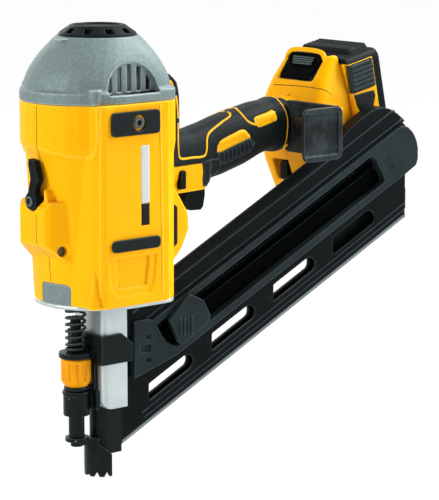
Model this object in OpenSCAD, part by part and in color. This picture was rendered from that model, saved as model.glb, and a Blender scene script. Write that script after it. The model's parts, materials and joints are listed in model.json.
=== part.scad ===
/* [Housing] */
// Height of the housing's base above the mouth of the drive channel
body_base = 118; // [114:0.5:122]
// Height of the housing from its base to the seam under the end cap
body_h = 144; // [138:1:150]
// Half width of the barrel
barrel_w = 45.5; // [44.5:0.5:46.5]
// Reach of the barrel in front of the drive axis at its base
front_low = 47.5; // [46:0.5:49]
// Reach of the barrel in front of the drive axis under the collar
front_high = 53.5; // [52:0.5:55]
// Reach of the housing behind the drive axis
rear_x = 40; // [39:0.5:42]
// Height of the wide collar under the seam
collar_h = 30; // [26:1:34]
// How far the collar stands out of the barrel
collar_step = 4.5; // [3:0.5:6]
// Half width across the flat side panels
panel_w = 48.5; // [48:0.5:51]
// Wall of the housing
wall = 3; // [2.5:0.25:3.5]

/* [End cap] */
// Height of the upright rim of the end cap
rim_h = 8; // [6:0.5:10]
// Height of the dome above its rim
dome_h = 35; // [31:1:39]
// Radius of the flat top of the dome
dome_top_r = 29; // [27:0.5:31]
// Height of the black top cover
cap_h = 7.5; // [6.5:0.5:9]
// Notches round the top cover
cap_notches = 10; // [6:1:12]
// Slots in each side grille
grille_slots = 5; // [3:2:7]

/* [Nose] */
// Radius of the drive channel
channel_r = 4; // [3.8:0.1:4.3]
// Outer radius of the drive guide
guide_r = 8.5; // [8:0.25:9]
// Half width of the nosepiece
nose_w = 18; // [17:0.5:19]
// Reach of the nosepiece in front of the drive axis
nose_front = 11; // [10.5:0.25:11.5]
// Reach of the nosepiece behind the drive axis
nose_back = 12; // [11:0.5:12.5]
// Height of the nosepiece's lower edge above the mouth
nose_low = 36; // [34:0.5:38]
// Thickness of the flange under the housing
flange_t = 3; // [2.5:0.25:3.5]

/* [Contact trip] */
// Distance of the depth rod in front of the drive axis
rod_x = 22.5; // [22:0.25:24]
// Travel of the contact trip
trip_travel = 12; // [10:0.5:12.5]
// Radius of the depth wheel
wheel_r = 11; // [10:0.25:11.5]
// Height of the depth wheel
wheel_h = 21; // [19:0.5:22]
// Radius of the plain post of the depth rod
post_r = 5.8; // [5.4:0.1:6]
// Radius of the threaded part of the depth rod
thread_r = 4; // [3.6:0.1:4.4]
// Reach of the contact foot below the mouth
foot_reach = 16; // [15:0.5:18]
// Teeth round the contact foot
foot_teeth = 5; // [3:1:7]
// Coils of the trip spring
spring_coils = 6; // [5:1:7]
// Wire radius of the trip spring
spring_wire_r = 1.1; // [0.9:0.05:1.2]

/* [Magazine] */
// Slope of the magazine
mag_slope = 30; // [30:1:32]
// Turn of the magazine out of the handle's plane, which clears the battery
mag_yaw = 9.2; // [9:0.1:9.6]
// Height of the magazine square to its slope
mag_h = 86.5; // [85:0.5:88]
// Reach of the magazine's rear end behind the drive axis
mag_reach = 269; // [262:1:276]
// Half width of the slot that the nails run in
nail_slot = 3.4; // [3.2:0.1:3.6]
// Windows along the magazine
mag_windows = 4; // [3:1:4]
// Travel of the pusher
pusher_travel = 190; // [150:5:195]

/* [Handle] */
// Height of the handle's mid line above the mouth at its root
handle_z = 209; // [206:0.5:212]
// Length of the handle from the housing to the foot
handle_len = 144; // [140:1:148]
// Rise of the handle over that length
handle_rise = 24; // [21:0.5:27]
// Sideways offset of the foot, which clears the magazine
foot_y = 7; // [7:0.25:9]
// Thickness of the rubber over the handle
grip_t = 2.2; // [1.8:0.1:2.6]

/* [Battery] */
// Half width of the battery
batt_w = 36; // [35:0.5:36.5]
// Depth of the battery behind the foot
batt_d = 33; // [31:0.5:36]
// Length of the battery
batt_l = 109; // [107:1:112]
// Lean of the battery
batt_lean = 12; // [10:0.5:13]

/* [Fits] */
// Gap round pieces that slide or turn
run_gap = 0.3; // [0.2:0.05:0.4]
// Radial gap of pins and shafts in their bores
pin_gap = 0.08; // [0.05:0.01:0.1]

/* [Hidden] */
$fn = 48;

// Heights of the housing
seam_z = body_base + body_h;
collar_z = seam_z - collar_h;
chamfer_z = collar_z - 2 * collar_step;
collar_front = front_high + collar_step;
collar_w = barrel_w + 2;
rear_r = 14;
// Flat left at the very front, which keeps the corner arcs apart
front_flat = 1;
arc_n = 8;
cut = 400;

// End cap
dome_z = seam_z + rim_h + 2;
dome_top = dome_z + dome_h;
dome_inset = 2.5;
dome_power = 1.65;
grille_x = -3;
grille_r = 22;
grille_z = seam_z + 6.5;
grille_y = 39.5;
grille_pitch = 8.6;
grille_slot = 3.6;
// Rib that runs down the rim and the collar in front of each side panel
lug_r = 4.5;
lug_h = rim_h + 3;
lug_at = [-33.4, 39];

// Boss of the casting in front of the cap, and the skirt plate over the nose
lift_boss = [31, 6, 0.8];
skirt_y = [-21, 6.5];
skirt_h = 15;
skirt_r = 4;
// Screws that hold the cap down on the drive frame, under the top cover
cap_posts = [[-11, 12], [9, 12]];
cap_post_r = 4.8;
cap_screw_r = 2;
cap_head_r = 3.6;
cap_head_h = 2.6;

// Side panels, bumpers and front boss
panel_x0 = -36;
panel_x1 = 25.5;
// The right panel starts further back than the left one
panel_far = 10;
// Tapered gusset at the foot of the left panel's front bevel
gusset_h = 27;
gusset_r = 6;
bumper_t = 2.2;
bumper_hole_r = 5.6;
bumper_x = [-27, 16.2];
bumper_screw_x = -2.4;
upper_bumper_z = [body_h - 22, body_h - 5];
lower_bumper_z = [40, 48.5];
screw_z = body_base + (upper_bumper_z[0] + upper_bumper_z[1]) / 2;
boss_w = 17;
boss_front = front_high + 7;
boss_z0 = body_base + 34;
boss_z1 = body_base + 75;
lever_z = boss_z1;
lever_ring_r = 6.4;
lever_x0 = boss_front + 1;
lever_x1 = boss_front - 5.5;
lever_pin_r = 2.2;
boss_screw = [-(boss_front - 12), boss_z0 + 6];

// Nose and contact trip
flange_z = body_base - flange_t;
front_wall_x = -nose_front;
sleeve_h = 14;
sleeve_top = nose_low + sleeve_h;
sleeve_low = nose_low - 4;
sleeve_r = 9.6;
fork_z = sleeve_top + 0.8;
fork_t = 2.5;
wheel_z = fork_z + fork_t + run_gap;
yoke_z = wheel_z + wheel_h + run_gap;
yoke_t = 4;
yoke_r = 12.5;
spring_z = yoke_z + yoke_t;
strap_t = 2.2;
plate_t = 3;
plate_x = front_wall_x - run_gap - plate_t;
spring_r = rod_x + plate_x - spring_wire_r - run_gap;
strap_z0 = yoke_z - 5;
strap_z1 = yoke_z + 17;
depth_range = 4;
thread_z = sleeve_top - 2;
rod_top = flange_z - 10;
disc_t = 3;
disc_z = sleeve_low - trip_travel - depth_range - disc_t - 0.5;
disc_r = 8.5;
shoe_in = guide_r + 0.8;
shoe_out = shoe_in + 3.3;
shoe_top = disc_z - 4;
mouth_h = 8;
// The channel is wider above its mouth, so that nails fall freely
channel_relief = 0.4;
slot_lift = 2;

// Drive
blade_t = 3;
blade_w = 6;
stroke = 108;
carrier_h = 18;
carrier_z = dome_top - 40;
tip_z = stroke;
rod_y = 20;
rod_r = 3;
frame_y = 27;
frame_t = 3;
frame_x0 = -31;
frame_x1 = rear_x - wall - 2;
frame_base_t = 6;
frame_top = carrier_z + carrier_h + 7;
guide_rod_x = -2.25;
bridge_t = 4;
fly_r = 16;
fly_w = 14;
fly_z = body_base + 28;
cross_z = fly_z + 70;
fly_x = blade_t / 2 + 0.5 + fly_r;
axle_r = 4;
roller_r = 7;
roller_x = -(blade_t / 2 + 0.5 + roller_r);
arm_pivot = [-24, fly_z + 16];
solenoid_r = 8;

// Handle and foot
root_x = rear_x;
foot_x = rear_x + handle_len;
foot_z = handle_z + handle_rise;
ring_n = 24;
// Rows of the handle: place along it, lower edge, upper edge, half width
handle_rows = [
    [-0.05, -26, 28, 20], [0.1, -25.5, 21.5, 19], [0.285, -26, 16, 18], [0.41, -26.3, 16.7, 17.5],
    [0.52, -26.5, 18, 18], [0.66, -24.8, 18.6, 18.5], [0.78, -21.4, 18.8, 18.5],
    [0.87, -20.6, 17.5, 18], [0.9, -23.8, 18, 19.5], [1.01, -25.5, 17, 20], [1.1, -26.5, 16, 20]
];
// Rows of the foot: height from the handle's end, front face from the handle's end, half width
foot_rows = [
    [-66, 20, 30], [-37, 8, 32], [-20, 4, 32.5], [7, 5, 32], [17, 9, 31.5], [28, 14, 29.5],
    [46.5, 27.8, 25.8]
];
foot_depth = 42;
foot_r = 9;
batt_x = foot_x + foot_depth;
batt_z = foot_z + 17;
grip_x0 = root_x + 14;
// The rubber ends this far in front of the foot
grip_end = 9;
spine_w = 26;
spine_r = 9;
spine_x = grip_x0 + 5;
grip_low_x = root_x + 62;
grip_low_z = handle_z - 1;

// Magazine
mag_right = 7;
band_left = 6;
cover_left = 14;
rail_left = 11;
rail_h = 20.5;
cover_h = 35;
cover_z1 = mag_h - rail_h;
cover_z0 = cover_z1 - cover_h;
// Long recess in the cover that the pusher runs along
track_z0 = cover_z0 + 5.5;
track_z1 = cover_z1 - 5;
track_r = 4;
stem_z0 = cover_z0 + 18;
stem_z1 = stem_z0 + 6;
window_pitch = 63;
window_u = 50;
window_l = 41;
window_z0 = 11;
window_z1 = 22.5;
mag_front = nose_back + 2.2;
pusher_u = 88;
pusher_l = 33;
pusher_t = 5.5;
// Lower corner of the ribbed pad on the pusher, in the upright plane of the magazine
pusher_pad = [56, 84];
tail = upright(mag_reach, cover_z0);
tail_l = 10.5;
tail_u = tail - tail_l;
track_end = tail_u - 14;
stop_u = [tail_u - 9.5, tail_u - 2];
stop_h = 11.5;
// Front plate of the cover, in the upright plane of the magazine
plate_front = 21;
plate_low = 55;
plate_top = 98.4;
plate_holes = [[30.4, 34.6, 83.4, 86.9], [26.2, 34.6, 74.1, 79.6], [30.4, 34.6, 66.2, 69.7]];
plate_hole_d = 2;
strip_t = 2.2;
// Room for the coiled pusher spring, square to the slope
spring_room = [cover_z1 - 2.5, mag_h - 10.5];
// Height and length of the hump at the rear end of the rail
hump_h = 4;
hump_l = 45;

// Trigger, lock and selector
trigger_w = 7;
trigger_pivot = [root_x + 44, handle_z - 19];
trigger_pin_r = 2;
lock_x = [root_x + 22, root_x + 27];
lock_z = [handle_z - 18, handle_z - 5];
lock_y = 18.5;
switch_x = [root_x + 40, root_x + 58];
switch_z = [handle_z - 4, handle_z + 7];
selector_z = [foot_z - 52, foot_z - 35];
selector_x = foot_x + 18;
selector_y = foot_y + 9;
selector_w = 9;
insert_lean = atan2(15, 20);
insert_w = 19.5;
insert_h = 10.5;
insert_d = 2.5;
board_x = foot_x + 17;

// Battery, in its own frame
rail_head = [3.2, 6, 22];
rail_neck = 18;
rail_z = [-64, 16];
batt_top = 28;
batt_low = batt_top - batt_l - 1;
batt_lid = 5;
batt_back = 7;
batt_r = 7;
button_x = [0.6, 25];
button_z = [0, 22];
button_ribs = 6;
button_t = 4.2;
button_travel = 2.2;
cell_r = 9.5;
cell_l = 58;
cell_gap = 0.3;
cell_room = batt_l - batt_lid - 5;
cell_pitch = (cell_room - 2 * cell_r - 2 * cell_gap) / 4;
hook_y = 62;
hook_l = 38;
hook_t = 4;
hook_x = foot_x - 4;
hook_z = [foot_z - 25, foot_z + 14.5];
hook_rim = 4;
hook_dish = 1.4;
hook_screw_at = [foot_y - 32, foot_z - 1];
hook_screw_r = 2.5;
// Screws across the housing: x, z, place of the head and of the tip along y
side_screws = [
    [boss_screw[0], boss_screw[1], -15, 12], [root_x + 10, handle_z - 12, -13, 11],
    [foot_x + 34, foot_z - 56, foot_y - 18, foot_y + 16]
];
side_screw_r = 1.9;
side_head_r = 3.4;

function lerp(a, b, t) = a + (b - a) * t;
function power(v, e) = sign(v) * pow(abs(v), e);

// Rounded rectangle in plan, as points, with its own front and rear corner radii
function plan_ring(x0, x1, w, rf, rr, z, y = 0) = [
    for (c = [[x0 + rf, w - rf, rf, 90], [x0 + rf, rf - w, rf, 180], [x1 - rr, rr - w, rr, 270],
              [x1 - rr, w - rr, rr, 0]])
        for (i = [0:arc_n])
            let (a = c[3] + 90 * i / arc_n)
            [c[0] + c[2] * cos(a), y + c[1] + c[2] * sin(a), z]
];

// Section of the handle in an upright plane, as points
function handle_ring(row, inset) =
    let (x = root_x + row[0] * handle_len)
    let (mid = handle_z + handle_rise * row[0])
    let (low = mid + row[1] + inset)
    let (high = mid + row[2] - inset)
    [
        for (i = [0:ring_n - 1])
            let (a = 360 * i / ring_n)
            [x, foot_y * max(0, row[0]) + (row[3] - inset) * power(cos(a), 0.8),
             (low + high) / 2 + (high - low) / 2 * power(sin(a), 0.8)]
    ];

function body_ring(z, front, w, inset = 0) =
    plan_ring(-front + inset, rear_x - inset, w - inset, w - front_flat - inset, rear_r - inset, z);

// Outline of the dome at share h of its height
function dome_ring(h, inset = 0) =
    let (f = 1 - pow(h, dome_power))
    let (w = lerp(dome_top_r, collar_w - dome_inset, f) - inset)
    let (r = lerp(dome_top_r, rear_r, f) - inset)
    plan_ring(-lerp(dome_top_r, collar_front - dome_inset, f) + inset,
              lerp(dome_top_r, rear_x - dome_inset, f) - inset, w + front_flat * (1 - f), w - front_flat * f,
              r, dome_z + dome_h * h - inset * h);

function foot_ring(row, inset = 0) =
    let (z = foot_z + row[0])
    let (x0 = foot_x + row[1] + inset)
    let (x1 = batt_x - (z - batt_z) * tan(batt_lean))
    plan_ring(x0, x1, row[2] - inset, min(foot_r, x1 - x0 - 1.5), 1, z, foot_y);

// Solid through a stack of rings with equal numbers of points
module skin(rings) {
    n = len(rings[0]);
    m = len(rings);
    polyhedron(
        points = [for (r = rings) each r],
        faces = concat(
            [[for (j = [0:n - 1]) j]],
            [for (i = [0:m - 2]) for (j = [0:n - 1]) let (k = (j + 1) % n) [i * n + j, (i + 1) * n + j, (i + 1) * n + k]],
            [for (i = [0:m - 2]) for (j = [0:n - 1]) let (k = (j + 1) % n) [i * n + j, (i + 1) * n + k, i * n + k]],
            [[for (j = [n - 1:-1:0]) (m - 1) * n + j]]
        )
    );
}

// Rounded rectangle with true arcs
module rrect(x0, x1, y0, y1, r) {
    translate([x0 + r, y0]) square([x1 - x0 - 2 * r, y1 - y0]);
    translate([x0, y0 + r]) square([x1 - x0, y1 - y0 - 2 * r]);
    for (x = [x0 + r, x1 - r]) {
        for (y = [y0 + r, y1 - r]) {
            translate([x, y]) circle(r);
        }
    }
}

module box(x0, x1, y0, y1, z0, z1) {
    translate([x0, y0, z0]) cube([x1 - x0, y1 - y0, z1 - z0]);
}

// Side profile drawn in x and z, pulled along y
module side(y0, y1) {
    translate([0, y1, 0]) rotate([90, 0, 0]) linear_extrude(y1 - y0) children();
}

// Profile drawn in y and z, pulled along x
module across(x0, x1) {
    translate([x0, 0, 0]) rotate([90, 0, 90]) linear_extrude(x1 - x0) children();
}

module rod(r, z0, z1, x = 0, y = 0) {
    translate([x, y, z0]) cylinder(r = r, h = z1 - z0);
}

// Cylinder along y through a point of the side view
module pin_y(r, y0, y1, x, z) {
    translate([x, y1, z]) rotate([90, 0, 0]) cylinder(r = r, h = y1 - y0);
}

module pin_x(r, x0, x1, y, z) {
    translate([x0, y, z]) rotate([0, 90, 0]) cylinder(r = r, h = x1 - x0);
}

module both_sides() {
    children();
    mirror([0, 1, 0]) children();
}

// One side of the parting plane, which bends with the handle's offset
module half(s) {
    intersection() {
        children();
        translate([0, 0, -cut / 2]) linear_extrude(2 * cut)
            polygon([[-cut, 0], [root_x, 0], [foot_x, foot_y], [cut, foot_y], [cut, s * cut], [-cut, s * cut]]);
    }
}

module battery_frame() {
    translate([batt_x, foot_y, batt_z]) rotate([0, -batt_lean, 0]) children();
}

// Yawed plane of the magazine, with x along the ground
module mag_plane() {
    rotate([0, 0, -mag_yaw]) children();
}

// Sloped frame of the magazine: x along it, z square to its lower edge
module mag_frame() {
    mag_plane() rotate([0, -mag_slope, 0]) children();
}

module body_solid(inset, z0, z1) {
    skin([
        body_ring(z0, front_low, barrel_w - 0.5, inset),
        body_ring(chamfer_z, front_high, barrel_w, inset),
        body_ring(collar_z, collar_front, collar_w, inset),
        body_ring(z1, collar_front, collar_w, inset)
    ]);
}

module handle_solid(inset) {
    skin([for (row = handle_rows) handle_ring(row, inset)]);
}

// Room that the magazine takes, with its gap, for the pieces that stand beside it
module mag_room() {
    mag_frame() box(0, cut, -cover_left - 4, mag_right + run_gap, -10, mag_h + hump_h + run_gap);
}

// Places on the handle where the yellow core shows through the rubber
module handle_windows(gap) {
    for (w = [[0.55, -5, 34, 10], [0.78, 8, 22, 7]]) {
        translate([root_x + w[0] * handle_len, 0, handle_z + handle_rise * w[0] + w[1]])
            rotate([0, -14, 0])
            cube([w[2] - 2 * gap, 2 * cut, w[3] - 2 * gap], center = true);
    }
}

// Part of the handle that the rubber covers
module grip_zone() {
    difference() {
        box(grip_x0, foot_x - grip_end, -cut, cut, 0, cut);
        box(0, grip_low_x, -cut, cut, 0, grip_low_z);
    }
}

module front_boss() {
    difference() {
        intersection() {
            side(-boss_w - 8, boss_w + 8)
                polygon([[-boss_front, boss_z0 + 10], [-boss_front, boss_z1 - 4], [-boss_front + 4, boss_z1],
                         [0, boss_z1], [0, boss_z0 - 14], [-boss_front + 16, boss_z0 - 3]]);
            translate([0, 0, boss_z0 - 20]) linear_extrude(boss_z1)
                polygon([[-boss_front, -boss_w + 3], [-boss_front, boss_w - 3], [-boss_front + 3, boss_w],
                         [-front_low + 7, boss_w + 8], [0, boss_w + 8], [0, -boss_w - 8],
                         [-front_low + 7, -boss_w - 8], [-boss_front + 3, -boss_w]]);
        }
        pin_x(lever_ring_r + 0.6, -cut, -lever_x1 + run_gap, 0, lever_z);
    }
    intersection() {
        difference() {
            pin_x(14, -boss_front + 3, 0, 0, lever_z);
            pin_x(lever_ring_r + 2, -cut, 1, 0, lever_z);
        }
        box(-cut, 1, -cut, -10, lever_z - 4, lever_z + 14);
    }
}

// Flat proud panel with bevelled edges, on one side; its front bevel runs tangent into the barrel
module side_panel(panel_x0) {
    difference() {
        translate([0, 0, body_base]) linear_extrude(body_h)
            polygon([[-front_low + 2, -barrel_w + 32], [panel_x0 - 1.5, -barrel_w + 5.5], [panel_x0 + 3.5, -panel_w],
                     [panel_x1, -panel_w], [panel_x1 + 5, -panel_w + 4], [panel_x1, -barrel_w + 8]]);
        side(-cut, -panel_w + 1)
            polygon([[panel_x0 + 7, body_base + 36], [panel_x1 - 11, body_base + 36], [panel_x1 - 13.5, body_base + 13],
                     [panel_x1 - 18, body_base + 7.5], [panel_x0 + 16, body_base + 7.5], [panel_x0 + 9, body_base + 13]]);
        side(-cut, -panel_w + 2.5)
            polygon([[panel_x0 + 14, body_base + 35], [panel_x1 - 17, body_base + 35], [panel_x1 - 20, body_base + 13],
                     [panel_x0 + 15, body_base + 13]]);
    }
}

// Moulded fin behind the panel
module rear_fin() {
    side(-30, 30)
        polygon([[rear_x - 4, body_base + 14], [rear_x + 13, body_base + 32], [rear_x + 20, body_base + 46],
                 [rear_x + 19, body_base + 58], [rear_x + 6, body_base + 78], [rear_x - 4, body_base + 88]]);
}

// Yellow block round the trigger
module trigger_block() {
    side(-15, 15)
        polygon([[root_x - 6, handle_z - 24], [root_x + 12, handle_z - 22], [root_x + 48, handle_z - 21],
                 [root_x + 54, handle_z - 14], [root_x + 54, grip_low_z], [root_x - 6, grip_low_z]]);
}

module housing() {
    difference() {
        union() {
            difference() {
                union() {
                    body_solid(0, body_base, seam_z);
                    side_panel(panel_x0);
                    translate([panel_x0 - 0.5, -barrel_w + 5, body_base])
                        cylinder(h = gusset_h, r1 = gusset_r, r2 = 1.2);
                    mirror([0, 1, 0]) side_panel(panel_x0 + panel_far);
                    both_sides() rod(lug_r, chamfer_z, seam_z, lug_at[0], lug_at[1]);
                    front_boss();
                    rear_fin();
                    trigger_block();
                    handle_solid(grip_t);
                    intersection() {
                        handle_solid(0.3);
                        union() {
                            handle_windows(0.3);
                            box(0, grip_low_x, -cut, cut, 0, grip_low_z);
                            box(0, grip_x0, -cut, cut, 0, cut);
                        }
                    }
                }
                body_solid(wall, body_base - 1, seam_z + 1);
            }
            difference() {
                union() {
                    skin([for (row = foot_rows) foot_ring(row)]);
                    box(hook_x, foot_x + 26, foot_y - 43, foot_y - 14, foot_z - 11, foot_z + 9);
                }
                mag_room();
            }
        }
        trigger_room();
        foot_room();
        side_screw_holes();
        pin_x(lever_pin_r + pin_gap, -cut, 0, 0, lever_z);
        nose_tab(run_gap);
    }
}

// Hollows for the trigger, its lock and its switch
module trigger_room() {
    box(trigger_pivot[0] - 9, trigger_pivot[0] + 18, -trigger_w - run_gap, trigger_w + run_gap,
        handle_z - 40, switch_z[0] - 1.5);
    pin_y(trigger_pin_r + pin_gap, -12, 12, trigger_pivot[0], trigger_pivot[1]);
    box(lock_x[0] - run_gap, lock_x[1] + run_gap, -cut, cut, lock_z[0] - run_gap, lock_z[1] + run_gap);
    box(switch_x[0] - run_gap, switch_x[1] + run_gap, -6 - run_gap, 6 + run_gap, switch_z[0] - 2, switch_z[1] + run_gap);
}

// Rail channel, selector pocket, insert recess and board slot of the battery foot
module foot_room() {
    battery_frame() {
        box(-rail_head[1] - run_gap, -rail_head[0] + run_gap, -rail_head[2] - run_gap, rail_head[2] + run_gap,
            rail_z[0] - 12, cut);
        box(-rail_head[1], 20, -rail_neck - run_gap, rail_neck + run_gap, rail_z[0] - 12, cut);
    }
    box(foot_x - 10, selector_x, selector_y - selector_w, selector_y + selector_w, selector_z[0], selector_z[1]);
    insert_frame() box(-10, insert_d, -insert_w, insert_w, -insert_h - 2.5, insert_h);
    box(board_x, board_x + 8, foot_y - 22, foot_y + 22, foot_z - 28, foot_z + 4);
    pin_x(hook_screw_r + pin_gap, hook_x - 1, foot_x + 20, hook_screw_at[0], hook_screw_at[1]);
}

module insert_frame() {
    translate([foot_x + 21.5, foot_y, foot_z + 38]) rotate([0, insert_lean, 0]) children();
}

module side_screw_holes() {
    for (p = side_screws) {
        pin_y(side_head_r + run_gap, -cut, p[2], p[0], p[1]);
        pin_y(side_screw_r + pin_gap, p[2] - 1, p[3] + 0.5, p[0], p[1]);
    }
}

// Upstand of the nosepiece that closes the foot of the barrel's front, grown by a gap for its notch
module nose_tab(gap) {
    r = barrel_w - 0.3;
    intersection() {
        difference() {
            rod(r + gap * 20, body_base - gap * 20, body_base + skirt_h + gap, r - front_low, 0);
            rod(r - 2.2 - gap * 20, flange_z - 1, cut, r - front_low, 0);
        }
        across(-cut, 0) rrect(skirt_y[0] - gap, skirt_y[1] + gap, flange_z - 20, body_base + skirt_h + gap, skirt_r);
    }
}

module nose_skirt() {
    color("silver") nose_tab(0);
}

module left_housing() {
    color("gold") half(-1) housing();
}

module right_housing() {
    color("gold") half(1) housing();
}

module dome_skin(inset) {
    skin([
        body_ring(seam_z - inset / 3, collar_front, collar_w, inset),
        body_ring(seam_z + rim_h, collar_front, collar_w, inset),
        each [for (i = [0:9]) dome_ring(i / 9, inset)]
    ]);
}

module grille_disc(r, y0, y1) {
    intersection() {
        pin_y(r, y0, y1, grille_x, grille_z);
        box(-cut, cut, -cut, cut, grille_z, cut);
    }
}

module end_cap() {
    color("silver") difference() {
        union() {
            difference() {
                union() {
                    dome_skin(0);
                    both_sides() rod(lug_r, seam_z, seam_z + lug_h, lug_at[0], lug_at[1]);
                    rod(lift_boss[1], seam_z, dome_top - lift_boss[2], -lift_boss[0], 0);
                }
                dome_skin(wall);
            }
            intersection() {
                dome_skin(0);
                both_sides() grille_disc(grille_r + 3, -collar_w, -grille_y + 3);
            }
            both_sides() for (p = cap_posts) {
                rod(cap_post_r, frame_top, dome_top - wall + 0.5, p[0], p[1]);
            }
        }
        both_sides() {
            grille_disc(grille_r, -cut, -grille_y);
            intersection() {
                grille_disc(grille_r - 1.5, -cut, -grille_y + 4);
                for (i = [0:grille_slots - 1]) {
                    translate([grille_x + grille_pitch * (i - (grille_slots - 1) / 2), 0, 0])
                        box(-grille_slot / 2, grille_slot / 2, -cut, 0, grille_z + 1.5, cut);
                }
            }
            for (p = cap_posts) {
                rod(cap_screw_r + pin_gap, frame_top - 1, cut, p[0], p[1]);
                rod(cap_head_r + run_gap, dome_top - cap_head_h - run_gap, cut, p[0], p[1]);
            }
        }
    }
}

module cap_screws() {
    color("dimgray") both_sides() for (p = cap_posts) {
        rod(cap_head_r, dome_top - cap_head_h - run_gap, dome_top - run_gap, p[0], p[1]);
        rod(cap_screw_r, frame_top - bridge_t, dome_top - 1, p[0], p[1]);
    }
}

module top_cover() {
    color("#222222") difference() {
        translate([0, 0, dome_top]) rotate_extrude()
            polygon([[0, 0], [dome_top_r - 0.5, 0], [dome_top_r - 1.5, 2], [dome_top_r - 8, cap_h - 1],
                     [dome_top_r - 9.5, cap_h], [dome_top_r - 11.5, cap_h], [dome_top_r - 12.5, cap_h - 1.4],
                     [0, cap_h - 1.4]]);
        for (i = [0:cap_notches - 1]) {
            rotate(360 * i / cap_notches)
                box(dome_top_r - 8.5, dome_top_r + 1, -3, 3, dome_top + 2, dome_top + cap_h - 2);
        }
    }
}

module bumper_pair(z0, z1, r) {
    both_sides() side(-panel_w - bumper_t, -panel_w)
        rrect(bumper_x[0], bumper_x[1], body_base + z0, body_base + z1, r);
}

module upper_bumpers() {
    color("#2a2a2a") difference() {
        bumper_pair(upper_bumper_z[0], upper_bumper_z[1], 3);
        pin_y(bumper_hole_r, -cut, cut, bumper_screw_x, screw_z);
    }
}

module lower_bumpers() {
    color("#2a2a2a") bumper_pair(lower_bumper_z[0], lower_bumper_z[1], 3);
}

module bumper_screws() {
    color("dimgray") both_sides() difference() {
        pin_y(4, -panel_w - 1.4, -panel_w, bumper_screw_x, screw_z);
        translate([bumper_screw_x, -panel_w - 0.2, screw_z]) rotate([90, 0, 0]) cylinder(r = 2.1, h = 5, $fn = 6);
    }
}

module housing_screws() {
    color("dimgray") for (p = side_screws) {
        pin_y(side_head_r, p[2] - 3, p[2], p[0], p[1]);
        pin_y(side_screw_r, p[2] - 0.5, p[3], p[0], p[1]);
    }
}

module stall_lever() {
    color("#222222") difference() {
        union() {
            pin_x(lever_ring_r, -lever_x0, -lever_x1, 0, lever_z);
            translate([0, 0, lever_z]) across(-lever_x0 + 0.5, -lever_x1 - 0.5)
                polygon([[-5, 1], [-4.5, 9], [-8.5, 16], [-4, 29], [2.5, 30], [3, 26], [0.5, 16], [5, 1]]);
        }
        pin_x(lever_pin_r + pin_gap, -cut, 0, 0, lever_z);
    }
}

module lever_pin() {
    color("dimgray") {
        pin_x(lever_pin_r, -lever_x0 - 0.5, -front_low + 1, 0, lever_z);
        pin_x(lever_pin_r + 1.4, -lever_x0 - 1.6, -lever_x0 - run_gap, 0, lever_z);
    }
}

module nosepiece() {
    color("#b8babc") difference() {
        union() {
            intersection() {
                translate([0, 0, nose_low]) linear_extrude(flange_z - nose_low)
                    rrect(-nose_front, nose_back + 12, -nose_w, nose_w, 4);
                side(-nose_w, nose_w) rrect(-nose_front, nose_back + 12, nose_low, body_base, 7);
            }
            intersection() {
                skin([body_ring(flange_z, front_low, barrel_w - 0.5), body_ring(body_base, front_low, barrel_w - 0.5)]);
                box(-cut, cut, -cut, cut, 0, body_base);
            }
        }
        box(-guide_r - run_gap, cut / 2, -guide_r - run_gap, guide_r + run_gap, 0, cut);
        mag_plane() box(mag_front - run_gap, cut, -cut, cut, 0, flange_z - run_gap);
        rod(thread_r + 1, 0, cut, -rod_x, 0);
    }
}

module drive_guide() {
    color("#2b2b2b") difference() {
        union() {
            rod(guide_r, 0, body_base);
            box(0, nose_back + 8, -guide_r, guide_r, 0, body_base);
        }
        rod(channel_r, -1, cut);
        rod(channel_r + channel_relief, mouth_h, cut);
        mag_plane() {
            box(0, cut, -nail_slot, nail_slot, mouth_h + slot_lift, flange_z - 2);
            box(mag_front - run_gap, cut, -cut, cut, -1, cut);
        }
    }
}

module guide_sleeve() {
    color("#2b2b2b") difference() {
        union() {
            rod(sleeve_r, sleeve_low, sleeve_top, -rod_x, 0);
            rod(sleeve_r + 0.6, sleeve_top - 2.5, sleeve_top, -rod_x, 0);
            box(-rod_x, front_wall_x, -7, 7, nose_low, sleeve_top);
            box(front_wall_x - 2.5, front_wall_x, -13, 13, nose_low, sleeve_top);
        }
        rod(post_r + pin_gap, 0, cut, -rod_x, 0);
    }
}

module trip_carriage() {
    window_w = wheel_r - 2.5;
    inner = nose_w + run_gap;
    color("#262626") difference() {
        union() {
            box(plate_x, plate_x + plate_t, -inner - strap_t, inner + strap_t, strap_z0, strap_z1);
            box(plate_x, plate_x + plate_t, -11, 11, fork_z, strap_z1);
            both_sides() side(-inner - strap_t, -inner)
                polygon([[plate_x, strap_z0], [nose_back + 2, strap_z0], [nose_back + 3, strap_z1 - 9],
                         [4, strap_z1], [plate_x, strap_z1]]);
            rod(yoke_r, yoke_z, yoke_z + yoke_t, -rod_x, 0);
            box(-rod_x, plate_x + 1, -8, 8, yoke_z, yoke_z + yoke_t);
            rod(9, fork_z, fork_z + fork_t, -rod_x, 0);
            box(-rod_x, plate_x + 1, -8, 8, fork_z, fork_z + fork_t);
        }
        rod(thread_r + run_gap, yoke_z - 1, cut, -rod_x, 0);
        rod(post_r + run_gap, 0, wheel_z, -rod_x, 0);
        box(plate_x - 1, plate_x + plate_t + 1, -window_w, window_w, wheel_z - run_gap, yoke_z);
        box(plate_x + plate_t, cut, -inner, inner, 0, cut);
    }
}

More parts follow.
